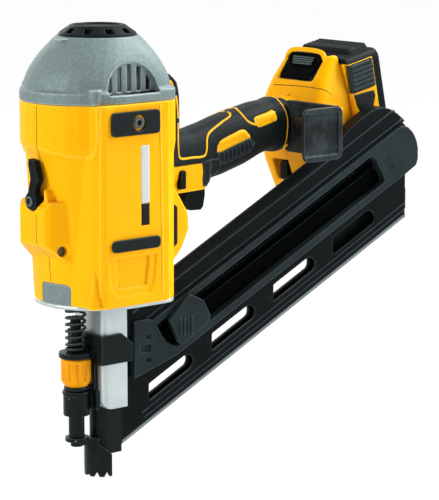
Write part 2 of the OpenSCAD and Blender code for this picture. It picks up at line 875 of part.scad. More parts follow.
// Path of the trip spring: each end rises square to its seat, then the coils climb evenly
spring_end = 2 * spring_wire_r;
spring_h = flange_z - spring_z;
coil_n = 8;
spring_rise = spring_h - 2 * spring_end - 2;
function coil_point(i) =
    let (a = 360 * i / coil_n)
    [spring_r * cos(a), spring_r * sin(a), spring_end + 1 + spring_rise * i / (coil_n * spring_coils)];
spring_path = concat(
    [[spring_r, 0, 0], [spring_r, 0, spring_end]],
    [for (i = [1:coil_n * spring_coils - 1]) coil_point(i)],
    [[spring_r, 0, spring_h - spring_end], [spring_r, 0, spring_h]]
);
function unit(v) = v / norm(v);
// Ring of a six-sided tube round point i of a path that winds about z
function tube_ring(path, i, r) =
    let (n = len(path))
    let (t = unit(path[min(i + 1, n - 1)] - path[max(i - 1, 0)]))
    let (out = [path[i][0], path[i][1], 0])
    let (u = unit(out - t * (out * t)))
    let (v = cross(t, u))
    [for (k = [0:5]) path[i] + r * (u * cos(60 * k) + v * sin(60 * k))];
// Least gap between turns of the spring, measured on its path
spring_gap = min([
    for (i = [0:len(spring_path) - 1])
        for (j = [i + coil_n - 2:len(spring_path) - 1])
            if (j < len(spring_path)) norm(spring_path[i] - spring_path[j]) - 2 * spring_wire_r
]);
echo(spring_gap = spring_gap);

module trip_spring() {
    color("#3a3a3a") translate([-rod_x, 0, spring_z])
        skin([for (i = [0:len(spring_path) - 1]) tube_ring(spring_path, i, spring_wire_r)]);
}

module depth_wheel() {
    flutes = 12;
    color("orange") difference() {
        translate([-rod_x, 0, wheel_z]) rotate_extrude()
            polygon([[thread_r + pin_gap, 0], [wheel_r - 3, 0], [wheel_r, 4], [wheel_r, wheel_h - 1],
                     [wheel_r - 1, wheel_h], [thread_r + pin_gap, wheel_h]]);
        for (i = [0:flutes - 1]) {
            translate([-rod_x, 0, 0]) rotate(360 * i / flutes)
                rod(1.6, wheel_z + 5, wheel_z + wheel_h - 3, wheel_r + 0.6, 0);
        }
    }
}

module depth_rod() {
    color("#303030") {
        rod(post_r, disc_z + disc_t, thread_z, -rod_x, 0);
        rod(thread_r, thread_z - 1, rod_top, -rod_x, 0);
    }
}

module contact_foot() {
    tooth_a = 180 / foot_teeth;
    color("#303030") {
        rod(disc_r, disc_z, disc_z + disc_t, -rod_x, 0);
        rod(4.5, disc_z - 4, disc_z + 1, -rod_x, 0);
        difference() {
            union() {
                box(-rod_x, -shoe_in - 1, -6, 6, disc_z - 3, disc_z + 1);
                intersection() {
                    rod(shoe_out, -foot_reach, disc_z + 1);
                    box(-cut, 0.5, -cut, cut, -cut, cut);
                }
            }
            rod(shoe_in, -cut, cut);
            side(-cut, cut)
                polygon([[-8.5, disc_z + 2], [-8.5, shoe_top], [2, shoe_top - 9], [2, disc_z + 2]]);
            for (i = [0:foot_teeth - 1]) {
                rotate(90 + tooth_a * (i + 0.5)) translate([0, 0, -foot_reach])
                    across(0, shoe_out + 2) polygon([[-2.6, -1], [2.6, -1], [0, 4]]);
            }
        }
    }
}

module drive_frame() {
    color("#9a9da0") difference() {
        union() {
            box(frame_x0, frame_x1, -frame_y - frame_t, frame_y + frame_t, body_base, body_base + frame_base_t);
            both_sides() {
                box(frame_x0, frame_x1, frame_y, frame_y + frame_t, body_base, cross_z + 3);
                box(-16, 14, frame_y, frame_y + frame_t, body_base, frame_top);
            }
            box(frame_x0, frame_x0 + 16, -frame_y, frame_y, cross_z, cross_z + 3);
            box(-16, 14, -frame_y - frame_t, frame_y + frame_t, frame_top - bridge_t, frame_top);
        }
        box(-blade_t, blade_t, -blade_w, blade_w, 0, body_base + frame_base_t + 1);
        both_sides() {
            rod(rod_r + pin_gap, 0, cut, guide_rod_x, rod_y);
            for (p = cap_posts) {
                rod(cap_screw_r + pin_gap, frame_top - bridge_t - 1, cut, p[0], p[1]);
            }
        }
        pin_y(axle_r + pin_gap, -cut, cut, fly_x, fly_z);
        pin_y(3 + pin_gap, -cut, cut, arm_pivot[0], arm_pivot[1]);
        rod(thread_r + 1, 0, body_base + frame_base_t + 1, -rod_x, 0);
    }
}

module flywheel() {
    color("#707478") difference() {
        union() {
            pin_y(fly_r, -fly_w / 2, fly_w / 2, fly_x, fly_z);
            pin_y(10, 0, fly_w / 2 + 2.5, fly_x, fly_z);
        }
        pin_y(fly_r - 3, -fly_w, fly_w / 2 - 2.5, fly_x, fly_z);
        pin_y(8 + pin_gap, -fly_w, fly_w, fly_x, fly_z);
        for (y = [-2.5, 0, 2.5]) {
            translate([fly_x, y, fly_z]) rotate([90, 0, 0]) rotate_extrude()
                polygon([[fly_r + 1, -1.2], [fly_r - 0.6, 0], [fly_r + 1, 1.2]]);
        }
    }
}

module motor_stator() {
    color("peru") difference() {
        pin_y(fly_r - 3.6, -fly_w / 2, fly_w / 2 - 3, fly_x, fly_z);
        pin_y(axle_r + pin_gap, -cut, cut, fly_x, fly_z);
        for (i = [0:8]) {
            translate([fly_x, 0, fly_z]) rotate([0, 40 * i, 0]) box(7, 20, -cut, cut, -1.2, 1.2);
        }
    }
}

module motor_axle() {
    color("silver") pin_y(axle_r, -frame_y - frame_t, frame_y + frame_t, fly_x, fly_z);
}

module flywheel_bearings() {
    color("lightgray") for (y = [fly_w / 2 - 2.5, fly_w / 2 + 0.1]) {
        difference() {
            pin_y(8, y, y + 2.4, fly_x, fly_z);
            pin_y(axle_r + pin_gap, -cut, cut, fly_x, fly_z);
        }
    }
}

module pinch_roller() {
    color("#55585c") difference() {
        pin_y(roller_r, -6, 6, roller_x, fly_z);
        pin_y(3 + pin_gap, -cut, cut, roller_x, fly_z);
    }
}

module roller_arm() {
    reach = norm([roller_x, fly_z] - arm_pivot);
    lean = atan2(fly_z - arm_pivot[1], roller_x - arm_pivot[0]);
    color("#6b6f73") difference() {
        union() {
            both_sides() side(6 + run_gap, 9.5) translate(arm_pivot) rotate(lean) {
                circle(5.5);
                translate([0, -4]) square([reach, 8]);
                translate([reach, 0]) circle(4.8);
            }
            pin_y(5.5, -9.5, 9.5, arm_pivot[0], arm_pivot[1]);
            pin_y(3, -9.5, 9.5, roller_x, fly_z);
        }
        pin_y(3 + pin_gap, -cut, cut, arm_pivot[0], arm_pivot[1]);
    }
}

module arm_pin() {
    color("silver") pin_y(3, -frame_y - frame_t, frame_y + frame_t, arm_pivot[0], arm_pivot[1]);
}

module solenoid() {
    color("#444444") {
        rod(solenoid_r, cross_z - 34, cross_z, frame_x0 + 9, 0);
        rod(3, arm_pivot[1] + 6.2, cross_z - 33, frame_x0 + 9, 0);
    }
}

module driver_blade() {
    color("silver") difference() {
        union() {
            box(-blade_t / 2, blade_t / 2, -blade_w / 2, blade_w / 2, tip_z, carrier_z + carrier_h);
            box(2 * guide_rod_x - blade_t / 2, blade_t / 2, -frame_y + 0.7, frame_y - 0.7, carrier_z, carrier_z + carrier_h);
        }
        both_sides() rod(rod_r + pin_gap, 0, cut, guide_rod_x, rod_y);
    }
}

module guide_rods() {
    color("silver") both_sides() rod(rod_r, body_base, frame_top, guide_rod_x, rod_y);
}

module rod_sleeves(r, z0, z1) {
    both_sides() difference() {
        rod(r, z0, z1, guide_rod_x, rod_y);
        rod(rod_r + run_gap, 0, cut, guide_rod_x, rod_y);
    }
}

module return_springs() {
    color("gray") rod_sleeves(5.6, bumper_top, carrier_z);
}

bumper_top = body_base + frame_base_t + 10;

module drive_bumpers() {
    color("#303030") rod_sleeves(6, body_base + frame_base_t, bumper_top);
}

// Rubber over the handle and up the back of the barrel
module grip() {
    difference() {
        union() {
            intersection() {
                handle_solid(0);
                grip_zone();
            }
            intersection() {
                side(-spine_w, spine_w)
                    polygon([[rear_x, handle_z + 3], [grip_x0, handle_z + 3], [spine_x, handle_z + 22],
                             [spine_x - 1, handle_z + 34], [rear_x + 16, seam_z], [rear_x + 12, seam_z + 10],
                             [rear_x + 5, seam_z + 16], [rear_x, seam_z + 16]]);
                linear_extrude(cut) rrect(rear_x - 2 * spine_r, spine_x, -spine_w, spine_w, spine_r);
            }
        }
        handle_solid(grip_t);
        handle_windows(0);
        body_solid(0, body_base, seam_z);
        intersection() {
            handle_solid(0.3);
            box(0, grip_x0, -cut, cut, 0, cut);
        }
    }
}

module left_grip() {
    color("#1e1e1e") half(-1) grip();
}

module right_grip() {
    color("#1e1e1e") half(1) grip();
}

module trigger() {
    x = trigger_pivot[0];
    z = trigger_pivot[1];
    color("#1e1e1e") difference() {
        side(-trigger_w, trigger_w) {
            translate([x, z]) circle(4.5);
            polygon([[x - 4.5, z], [x - 7, z - 6], [x - 8, z - 11], [x - 6.5, z - 16.5], [x - 3, z - 18],
                     [x + 7, z - 18.5], [x + 9.5, z - 16], [x + 11, z - 8], [x + 11.5, z + 3], [x + 4, z + 7]]);
        }
        pin_y(trigger_pin_r + pin_gap, -cut, cut, x, z);
    }
}

module trigger_pin() {
    color("silver") pin_y(trigger_pin_r, -12, 12, trigger_pivot[0], trigger_pivot[1]);
}

module trigger_switch() {
    color("#333333") box(switch_x[0], switch_x[1], -6, 6, switch_z[0], switch_z[1]);
}

module trigger_lock() {
    color("#1e1e1e") box(lock_x[0], lock_x[1], -lock_y, lock_y, lock_z[0], lock_z[1]);
}

module drive_selector() {
    x = selector_x - run_gap;
    color("#1e1e1e") {
        box(x - 5, x, selector_y - selector_w + run_gap, selector_y + 3, selector_z[0] + run_gap,
            selector_z[1] - run_gap);
        box(x - 9, x - 4, selector_y - 7, selector_y + 1, selector_z[0] + 2, selector_z[1] - 2);
    }
}

module foot_insert() {
    ribs = 5;
    w = insert_w - run_gap;
    color("#1e1e1e") insert_frame() {
        box(insert_d - 1.2, insert_d, -w, w, -insert_h - 2.2, insert_h - run_gap);
        for (i = [0:ribs - 1]) {
            translate([0, 0, -insert_h + 3.6 * i]) box(0.2, insert_d - 1, -w + 3, w - 3, 0, 1.6);
        }
    }
}

module control_board() {
    color("seagreen") {
        box(board_x + run_gap, board_x + 2, foot_y - 21.7, foot_y + 21.7, foot_z - 28 + run_gap, foot_z + 4 - run_gap);
        for (y = [-14, 0, 14]) {
            box(board_x + 1.5, board_x + 8 - run_gap, foot_y + y - 5, foot_y + y + 5, foot_z - 22, foot_z - 12);
        }
    }
}

module terminal_block() {
    color("#444444") battery_frame() {
        box(-rail_head[1], -1, -14, 14, rail_z[0] - 12, rail_z[0] - 6);
        for (y = [-9, -3, 3, 9]) {
            box(-4, -3.2, y - 2, y + 2, rail_z[0] - 7, rail_z[0] + 8);
        }
    }
}

// Box of the battery with rounded long edges
module battery_block(x0, x1, w, z0, z1) {
    across(x0, x1) rrect(-w, w, z0, z1, batt_r);
}

module release_pockets(gap, y) {
    both_sides() box(-batt_w, button_x[1] + gap, -batt_w - 5, -y, button_z[0] - gap, button_z[1] + gap);
}

module battery_case() {
    color("gold") battery_frame() difference() {
        union() {
            intersection() {
                battery_block(run_gap, batt_d - batt_back, batt_w, batt_low, batt_top);
                box(-1, cut, -cut, cut, -cut, batt_top - batt_lid);
            }
            box(-rail_head[0] - 0.5, 1, -rail_neck, rail_neck, rail_z[0], rail_z[1]);
            box(-rail_head[1], -rail_head[0], -rail_head[2], rail_head[2], rail_z[0], rail_z[1]);
        }
        box(2.5, batt_d, -cell_l / 2 - 0.5, cell_l / 2 + 0.5, batt_low + 4, batt_low + 4 + cell_room);
        release_pockets(run_gap, batt_w + 1.2 - button_t - button_travel - run_gap);
        for (y = [-9, -3, 3, 9]) {
            box(-4.6, -2.6, y - 2.6, y + 2.6, rail_z[0] - 1, rail_z[0] + 9);
        }
    }
}

module battery_cover() {
    color("#1c1c1c") battery_frame() {
        difference() {
            battery_block(run_gap, batt_d, batt_w, batt_low, batt_top);
            box(-1, batt_d - batt_back, -cut, cut, -cut, batt_top - batt_lid);
        }
        for (i = [0:5]) {
            box(batt_d - 21 + 3.2 * i, batt_d - 19.2 + 3.2 * i, -batt_w + 10, batt_w - 10, batt_top - 1, batt_top + 4);
        }
        box(batt_d - 22, batt_d - 3, -batt_w + 9, batt_w - 9, batt_top - 1, batt_top + 2.4);
    }
}

// Ribbed button on the near side
module release_button() {
    color("#1c1c1c") {
        box(button_x[0], button_x[1], -batt_w - 0.4, -batt_w - 1.2 + button_t, button_z[0], button_z[1]);
        for (i = [0:button_ribs - 1]) {
            translate([0, 0, button_z[0] + 1.5 + 3.6 * i])
                box(button_x[0] + 1.5, button_x[1] - 1.5, -batt_w - 1.2, -batt_w, 0, 1.8);
        }
    }
}

module left_release() {
    battery_frame() release_button();
}

module right_release() {
    battery_frame() mirror([0, 1, 0]) release_button();
}

module battery_cells() {
    color("steelblue") battery_frame() for (i = [0:4]) {
        pin_y(cell_r, -cell_l / 2, cell_l / 2, 2.8 + cell_r, batt_low + 4 + cell_gap + cell_r + cell_pitch * i);
    }
}

module rafter_hook() {
    color("#1e1e1e") difference() {
        union() {
            across(hook_x - hook_t, hook_x) rrect(-hook_y - hook_t, foot_y - 12, hook_z[0], hook_z[1], 5);
            side(-hook_y - hook_t, -hook_y) rrect(hook_x - hook_l, hook_x, hook_z[0], hook_z[1], 5);
        }
        side(-cut, -hook_y - hook_t + hook_dish)
            rrect(hook_x - hook_l - 10, hook_x - hook_rim, hook_z[0] + hook_rim, hook_z[1] - hook_rim, 3);
        pin_x(hook_screw_r + pin_gap, 0, cut, hook_screw_at[0], hook_screw_at[1]);
        handle_solid(-run_gap);
        mag_room();
    }
}

module hook_screw() {
    color("dimgray") {
        pin_x(hook_screw_r, hook_x - hook_t - 1, foot_x + 19, hook_screw_at[0], hook_screw_at[1]);
        pin_x(4.5, hook_x - hook_t - 3, hook_x - hook_t, hook_screw_at[0], hook_screw_at[1]);
    }
}

// Places along the sloped magazine for a point of its upright plane
function mag_uw(x, z) = [x * cos(mag_slope) + z * sin(mag_slope), z * cos(mag_slope) - x * sin(mag_slope)];
function upright(x, w) = x / cos(mag_slope) + w * tan(mag_slope);
mag_top_x = rear_x + 3;
mag_step_z = flange_z - 1;

module mag_outline() {
    top = mag_h + hump_h;
    difference() {
        polygon([
            [upright(mag_front, 0), 0], [upright(mag_reach, 0), 0], [tail, cover_z0], [tail + 8, cover_z0 + 5],
            [tail + 13, cover_z0 + 12], [tail + 16, cover_z0 + 20], [tail + 16.5, cover_z0 + 28],
            [tail + 15, cover_z1], [tail + 12, mag_h - 12], [tail + 8, mag_h - 5], [tail + 3, mag_h],
            [tail - 3, top - 1], [tail - 9, top], [tail - hump_l / 2, top], [tail - 0.75 * hump_l, top - 1.5],
            [tail - hump_l, mag_h], [upright(mag_front, mag_h), mag_h]
        ]);
        polygon([mag_uw(0, mag_step_z), mag_uw(mag_top_x, mag_step_z), mag_uw(mag_top_x, cut), mag_uw(0, cut)]);
    }
}

module mag_windows_cut(first, last, y0, y1) {
    r = (window_z1 - window_z0) / 2;
    for (i = [first:last]) {
        translate([window_u + window_pitch * i, 0, 0]) side(y0, y1) {
            polygon([[0, window_z0], [window_l, window_z0], [window_l, window_z1],
                     [2 * r * tan(mag_slope), window_z1]]);
            translate([window_l, window_z0 + r]) circle(r);
        }
    }
}

module magazine_body() {
    color("#242424") mag_frame() difference() {
        intersection() {
            union() {
                across(tail - hump_l, tail + 30) translate([-rail_left, spring_room[1] + 2])
                    square([rail_left + 2, mag_h + hump_h - spring_room[1]]);
                across(0, tail + 30) difference() {
                    union() {
                        translate([-band_left, 0]) square([band_left + mag_right, cover_z1 + 4]);
                        polygon([[-rail_left, cover_z1], [-rail_left, mag_h - 5], [-rail_left + 2, mag_h - 1.5],
                                 [-rail_left + 4, mag_h], [-4, mag_h], [-3, mag_h - 2], [1, mag_h - 3],
                                 [2, mag_h - 5], [mag_right, mag_h - 9], [mag_right, cover_z1]]);
                    }
                    translate([-nail_slot, -1]) square([2 * nail_slot, spring_room[1]]);
                    translate([-nail_slot - 1.2, spring_room[0]])
                        square([2 * nail_slot + 2.4, spring_room[1] - spring_room[0]]);
                }
            }
            side(-cut, cut) mag_outline();
        }
        mag_windows_cut(0, mag_windows - 2, -cut, cut);
        mag_windows_cut(mag_windows - 1, mag_windows - 1, -cut, 0);
        box(pusher_u - 10, tail_u, -cut, 0, stem_z0, stem_z1);
    }
}

// Front plate of the cover, with its front edge upright
module cover_plate() {
    polygon([
        mag_uw(plate_front, plate_low), [pusher_u - 4, cover_z0], [pusher_u + 6, track_z0], [pusher_u - 1, track_z0],
        [pusher_u - 7, track_z0 + 9], [pusher_u - 7, track_z1 - 3], mag_uw(plate_front + 13, plate_top),
        mag_uw(plate_front + 1, plate_top), mag_uw(plate_front, plate_top - 1)
    ]);
}

module cover_track() {
    polygon([
        [pusher_u - 1, track_z0], [track_end - track_r, track_z0], [track_end - track_r / 4, track_z0 + track_r / 4],
        [track_end, track_z0 + track_r], [track_end, track_z1 - track_r],
        [track_end - track_r / 4, track_z1 - track_r / 4], [track_end - track_r, track_z1], [pusher_u - 7.5, track_z1],
        [pusher_u - 7, track_z1 - 3], [pusher_u - 7, track_z0 + 9]
    ]);
}

module magazine_cover() {
    color("#2a2a2a") difference() {
        mag_frame() difference() {
            union() {
                side(-cover_left, -band_left) intersection() {
                    union() {
                        cover_plate();
                        polygon([[pusher_u - 4, cover_z0], [tail_u, cover_z0], [tail_u, cover_z1],
                                 [pusher_u - 12, cover_z1], [pusher_u - 12, track_z0]]);
                    }
                    translate([0, -cut]) square([cut, cut + cover_z1]);
                }
                side(-cover_left, -rail_left) cover_plate();
            }
            side(-cut, cut) cover_track();
            box(stop_u[0], stop_u[1], -cut, -band_left, track_z0 + 6, track_z0 + 6 + stop_h);
        }
        mag_plane() for (h = plate_holes) {
            box(h[0], h[1], -cut, -cover_left + plate_hole_d, h[2], h[3]);
        }
    }
}

module magazine_tail() {
    color("#2a2a2a") mag_frame() side(-cover_left - 0.5, -band_left)
        polygon([[tail_u, cover_z0], [tail + 5, cover_z0 + 0.5], [tail + 9, cover_z0 + 4], [tail + 13, cover_z0 + 11],
                 [tail + 15, cover_z0 + 18], [tail + 15, cover_z0 + 25], [tail + 13, cover_z1 - 4],
                 [tail + 9, cover_z1 - 0.5], [tail + 4, cover_z1], [tail_u, cover_z1]]);
}

module wear_strip() {
    color("silver") mag_frame() side(-band_left - 0.4, band_left + 0.4)
        polygon([[upright(mag_front, -strip_t), -strip_t], [upright(mag_reach, -strip_t), -strip_t],
                 [upright(mag_reach, 0), 0], [upright(mag_front, 0), 0]]);
}

module pusher() {
    in = nail_slot - run_gap;
    top = spring_room[0] - 1;
    face = cover_left + pusher_t;
    color("#1a1a1a") {
        mag_frame() {
            side(-in, in)
                polygon([[pusher_u + 2, cover_z0 - 4], [pusher_u + 22, cover_z0 - 4], [pusher_u + 42, top],
                         [pusher_u + 22, top]]);
            box(pusher_u + 10, pusher_u + 24, -cover_left - 2, 0, stem_z0 + run_gap, stem_z1 - run_gap);
            side(-face, -cover_left - run_gap)
                polygon([[pusher_u, cover_z0 + 10], [pusher_u + 1, cover_z0 + 7], [pusher_u + 29, cover_z0 + 8],
                         [pusher_u + 32, cover_z0 + 11], [pusher_u + pusher_l, cover_z0 + 25],
                         [pusher_u + 26, cover_z1 + 0.5], [pusher_u + 22, cover_z1 + 0.5],
                         [pusher_u + 2, cover_z0 + 29]]);
        }
        mag_plane() for (i = [0:3]) {
            box(pusher_pad[0] + 3.1 * i, pusher_pad[0] + 1.7 + 3.1 * i, -face - 1, -face + 1, pusher_pad[1] + 0.4 * i,
                pusher_pad[1] + 13 + 0.4 * i);
        }
    }
}

module pusher_spring() {
    coil_w = (spring_room[0] + spring_room[1]) / 2;
    color("silver") mag_frame() difference() {
        pin_y(6, -nail_slot + run_gap, nail_slot - run_gap, pusher_u + 38, coil_w);
        pin_y(3, -cut, cut, pusher_u + 38, coil_w);
    }
}

module nail_stop() {
    color("#1a1a1a") mag_frame()
        box(stop_u[0] + run_gap, stop_u[1] - run_gap, -cover_left + 0.6, -band_left - 2.5, track_z0 + 6 + run_gap,
            track_z0 + 6 + stop_h - run_gap);
}

left_housing();
right_housing();
end_cap();
top_cover();
cap_screws();
upper_bumpers();
lower_bumpers();
bumper_screws();
housing_screws();
stall_lever();
lever_pin();
nosepiece();
nose_skirt();
drive_guide();
guide_sleeve();
trip_carriage();
trip_spring();
depth_wheel();
depth_rod();
contact_foot();
drive_frame();
flywheel();
motor_stator();
motor_axle();
flywheel_bearings();
pinch_roller();
roller_arm();
arm_pin();
solenoid();
driver_blade();
guide_rods();
return_springs();
drive_bumpers();
left_grip();
right_grip();
trigger();
trigger_pin();
trigger_switch();
trigger_lock();
drive_selector();
foot_insert();
control_board();
terminal_block();
battery_case();
battery_cover();
left_release();
right_release();
battery_cells();
rafter_hook();
hook_screw();
magazine_body();
magazine_cover();
magazine_tail();
wear_strip();
pusher();
pusher_spring();
nail_stop();
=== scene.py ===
import json
import math

import bmesh
import bpy
from mathutils import Matrix, Vector
from mathutils.bvhtree import BVHTree
from mathutils.geometry import delaunay_2d_cdt


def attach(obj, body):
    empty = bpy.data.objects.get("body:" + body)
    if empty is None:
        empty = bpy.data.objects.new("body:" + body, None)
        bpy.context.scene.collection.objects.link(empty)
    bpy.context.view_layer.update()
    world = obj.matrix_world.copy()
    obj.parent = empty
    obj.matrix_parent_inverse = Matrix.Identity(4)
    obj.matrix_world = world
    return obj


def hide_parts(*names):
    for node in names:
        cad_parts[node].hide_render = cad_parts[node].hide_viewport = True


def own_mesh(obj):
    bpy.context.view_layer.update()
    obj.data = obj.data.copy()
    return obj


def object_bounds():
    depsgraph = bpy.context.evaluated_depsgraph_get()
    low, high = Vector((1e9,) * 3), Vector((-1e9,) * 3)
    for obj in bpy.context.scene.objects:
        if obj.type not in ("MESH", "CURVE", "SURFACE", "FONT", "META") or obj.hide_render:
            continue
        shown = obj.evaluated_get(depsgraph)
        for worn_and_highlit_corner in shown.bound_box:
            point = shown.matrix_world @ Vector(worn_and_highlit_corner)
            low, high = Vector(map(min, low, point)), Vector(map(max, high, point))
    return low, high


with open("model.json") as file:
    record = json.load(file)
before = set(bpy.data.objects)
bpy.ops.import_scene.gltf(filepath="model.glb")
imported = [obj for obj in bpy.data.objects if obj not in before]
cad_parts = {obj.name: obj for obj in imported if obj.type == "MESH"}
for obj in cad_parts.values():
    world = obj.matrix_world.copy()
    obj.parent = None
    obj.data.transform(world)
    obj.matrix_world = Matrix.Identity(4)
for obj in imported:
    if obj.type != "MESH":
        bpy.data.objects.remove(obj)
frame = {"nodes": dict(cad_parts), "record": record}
cad_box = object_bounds()

MM = 0.001
scene = bpy.context.scene
nodes = frame["nodes"]
body_of = {n: b for b, members in frame["record"]["behaviour"]["bodies"].items() for n in members}
slot_of = {s["node"]: s["material_slot"] for s in frame["record"]["subparts"]}
MAGAZINE_SLOPE, MAGAZINE_YAW = math.radians(30), math.radians(9.2)


def per_m(size_mm):
    """Texture scale, in repeats per metre, of a pattern with this size in millimetres."""
    return 1.0 / (size_mm * MM)


def linear(code):
    """sRGB hex to the linear colour that a shader takes."""
    parts = [int(code[i:i + 2], 16) / 255 for i in (1, 3, 5)]
    return [c / 12.92 if c <= 0.04045 else ((c + 0.055) / 1.055) ** 2.4 for c in parts] + [1.0]


def add(tree, kind, inputs=None, **settings):
    """One node. An input is a value, an output, or another node, which gives its first live output."""
    made = tree.nodes.new(kind)
    for key, value in settings.items():
        setattr(made, key, value)
    for key, value in (inputs or {}).items():
        if isinstance(value, bpy.types.Node):
            value = next(o for o in value.outputs if o.enabled)
        if isinstance(value, bpy.types.NodeSocket):
            tree.links.new(value, made.inputs[key])
        else:
            made.inputs[key].default_value = value
    return made


def blank(name):
    """New empty material, with object coordinates in metres."""
    made = bpy.data.materials.new(name)
    made.use_nodes = True
    tree = made.node_tree
    tree.nodes.clear()
    return made, tree, add(tree, "ShaderNodeTexCoord").outputs["Object"]


def shaded(tree, **inputs):
    """Ends a material in one Principled shader; an underscore in a name stands for a space."""
    skin = add(tree, "ShaderNodeBsdfPrincipled", {k.replace("_", " "): v for k, v in inputs.items()})
    add(tree, "ShaderNodeOutputMaterial", {"Surface": skin})


# Pointiness of a finely divided piece, which is 0.5 on a flat, at its corners, which are paler (partly rubbing,
# partly painted highlight), and in its creases, which are darker (painted shade)
CORNER_FROM, CORNER_TO = 0.51, 0.58
SHADED_CREASE_FROM, SHADED_CREASE_TO = 0.495, 0.43
# and where oxide is worn through to the steel, a paler tone that is partly also painted highlight
BARE_AND_HIGHLIT_FROM, BARE_AND_HIGHLIT_TO = 0.52, 0.62


def rubbed_and_highlit(tree, flat, code, low=CORNER_FROM, high=CORNER_TO):
    """A flat colour, paler on the corners: partly the tone that rubbing leaves, partly painted highlight."""
    point = add(tree, "ShaderNodeNewGeometry").outputs["Pointiness"]
    worn_and_highlit_corner = add(tree, "ShaderNodeMapRange", {"Value": point, "From Min": low, "From Max": high})
    return add(tree, "ShaderNodeMix", {0: worn_and_highlit_corner, 6: flat, 7: linear(code)}, data_type="RGBA")


def glass_filled_nylon():
    """Yellow glass-filled nylon from a spark-eroded mould: an even warm colour under a fine dry grain, paler on
    the corners, partly from rubbing and partly painted highlight, and darker in the creases as painted shade.
    """
    made, tree, at = blank("glass_filled_nylon_moulded")
    cloud = add(tree, "ShaderNodeTexNoise", {"Vector": at, "Scale": per_m(28), "Detail": 3})
    grain = add(tree, "ShaderNodeTexNoise", {"Vector": at, "Scale": per_m(0.7), "Detail": 4})
    flat = add(tree, "ShaderNodeMix", {0: cloud, 6: linear("#f6ab00"), 7: linear("#fdb800")}, data_type="RGBA")
    point = add(tree, "ShaderNodeNewGeometry").outputs["Pointiness"]
    # Paler yellow on the corners: partly rubbing, partly painted highlight
    worn_and_highlit_corner = add(tree, "ShaderNodeMapRange", {"Value": point, "From Min": CORNER_FROM, "From Max": CORNER_TO})
    # Darker orange in the creases: painted shade
    painted_crease_shade = add(tree, "ShaderNodeMapRange", {"Value": point, "From Min": SHADED_CREASE_FROM, "From Max": SHADED_CREASE_TO})
    edged = add(tree, "ShaderNodeMix", {0: worn_and_highlit_corner, 6: flat, 7: linear("#ffcb38")}, data_type="RGBA")
    colour = add(tree, "ShaderNodeMix", {0: painted_crease_shade, 6: edged, 7: linear("#c67700")}, data_type="RGBA")
    rough = add(tree, "ShaderNodeMapRange", {"Value": grain, "To Min": 0.34, "To Max": 0.56})
    bump = add(tree, "ShaderNodeBump", {"Height": grain, "Strength": 0.12, "Distance": 0.15 * MM})
    shaded(tree, Base_Color=colour, Roughness=rough, Specular_IOR_Level=0.07, Normal=bump)
    return made


def painted_die_casting():
    """Die-cast magnesium under silver-grey paint: a cast stipple, and bright corners that are partly worn paint
    and partly painted highlight.

    The stipple is finer on the real tool. It is drawn at 1.7 mm, so that it shows."""
    made, tree, at = blank("magnesium_die_cast_painted")
    flake = add(tree, "ShaderNodeTexNoise", {"Vector": at, "Scale": per_m(1.7), "Detail": 5, "Roughness": 0.75})
    cloud = add(tree, "ShaderNodeTexNoise", {"Vector": at, "Scale": per_m(16), "Detail": 3})
    flat = add(tree, "ShaderNodeMix", {0: flake, 6: linear("#384a4a"), 7: linear("#91a3a2")}, data_type="RGBA")
    colour = rubbed_and_highlit(tree, flat, "#c3d0d0")
    rough = add(tree, "ShaderNodeMapRange", {"Value": cloud, "To Min": 0.52, "To Max": 0.66})
    bump = add(tree, "ShaderNodeBump", {"Height": flake, "Strength": 0.4, "Distance": 0.3 * MM})
    shaded(tree, Base_Color=colour, Metallic=0.3, Roughness=rough, Specular_IOR_Level=0.25, Normal=bump)
    return made


def black_nylon():
    """Black nylon, moulded: near-black with a fine leather-like tool texture and paler corners, partly from
    rubbing and partly painted highlight.
    """
    made, tree, at = blank("nylon_black_moulded")
    cloud = add(tree, "ShaderNodeTexNoise", {"Vector": at, "Scale": per_m(20), "Detail": 4})
    grain = add(tree, "ShaderNodeTexVoronoi", {"Vector": at, "Scale": per_m(0.8)}, feature="SMOOTH_F1")
    flat = add(tree, "ShaderNodeMix", {0: cloud, 6: linear("#090d0e"), 7: linear("#141b1c")}, data_type="RGBA")
    colour = rubbed_and_highlit(tree, flat, "#364445")
    rough = add(tree, "ShaderNodeMapRange", {"Value": cloud, "To Min": 0.36, "To Max": 0.56})
    bump = add(tree, "ShaderNodeBump", {"Height": grain, "Strength": 0.18, "Distance": 0.2 * MM})
    shaded(tree, Base_Color=colour, Roughness=rough, Specular_IOR_Level=0.05, Normal=bump)
    return made


def filled_black_nylon():
    """Black glass-filled nylon from a spark-eroded mould: satin dark grey, a fine grain, paler corners, partly
    from rubbing and partly painted highlight.
    """
    made, tree, at = blank("glass_filled_nylon_black_moulded")
    cloud = add(tree, "ShaderNodeTexNoise", {"Vector": at, "Scale": per_m(24), "Detail": 4})
    grain = add(tree, "ShaderNodeTexNoise", {"Vector": at, "Scale": per_m(0.7), "Detail": 4})
    flat = add(tree, "ShaderNodeMix", {0: cloud, 6: linear("#192122"), 7: linear("#2c3739")}, data_type="RGBA")
    colour = rubbed_and_highlit(tree, flat, "#4a595b")
    rough = add(tree, "ShaderNodeMapRange", {"Value": grain, "To Min": 0.4, "To Max": 0.6})
    bump = add(tree, "ShaderNodeBump", {"Height": grain, "Strength": 0.15, "Distance": 0.15 * MM})
    shaded(tree, Base_Color=colour, Roughness=rough, Specular_IOR_Level=0.07, Normal=bump)
    return made


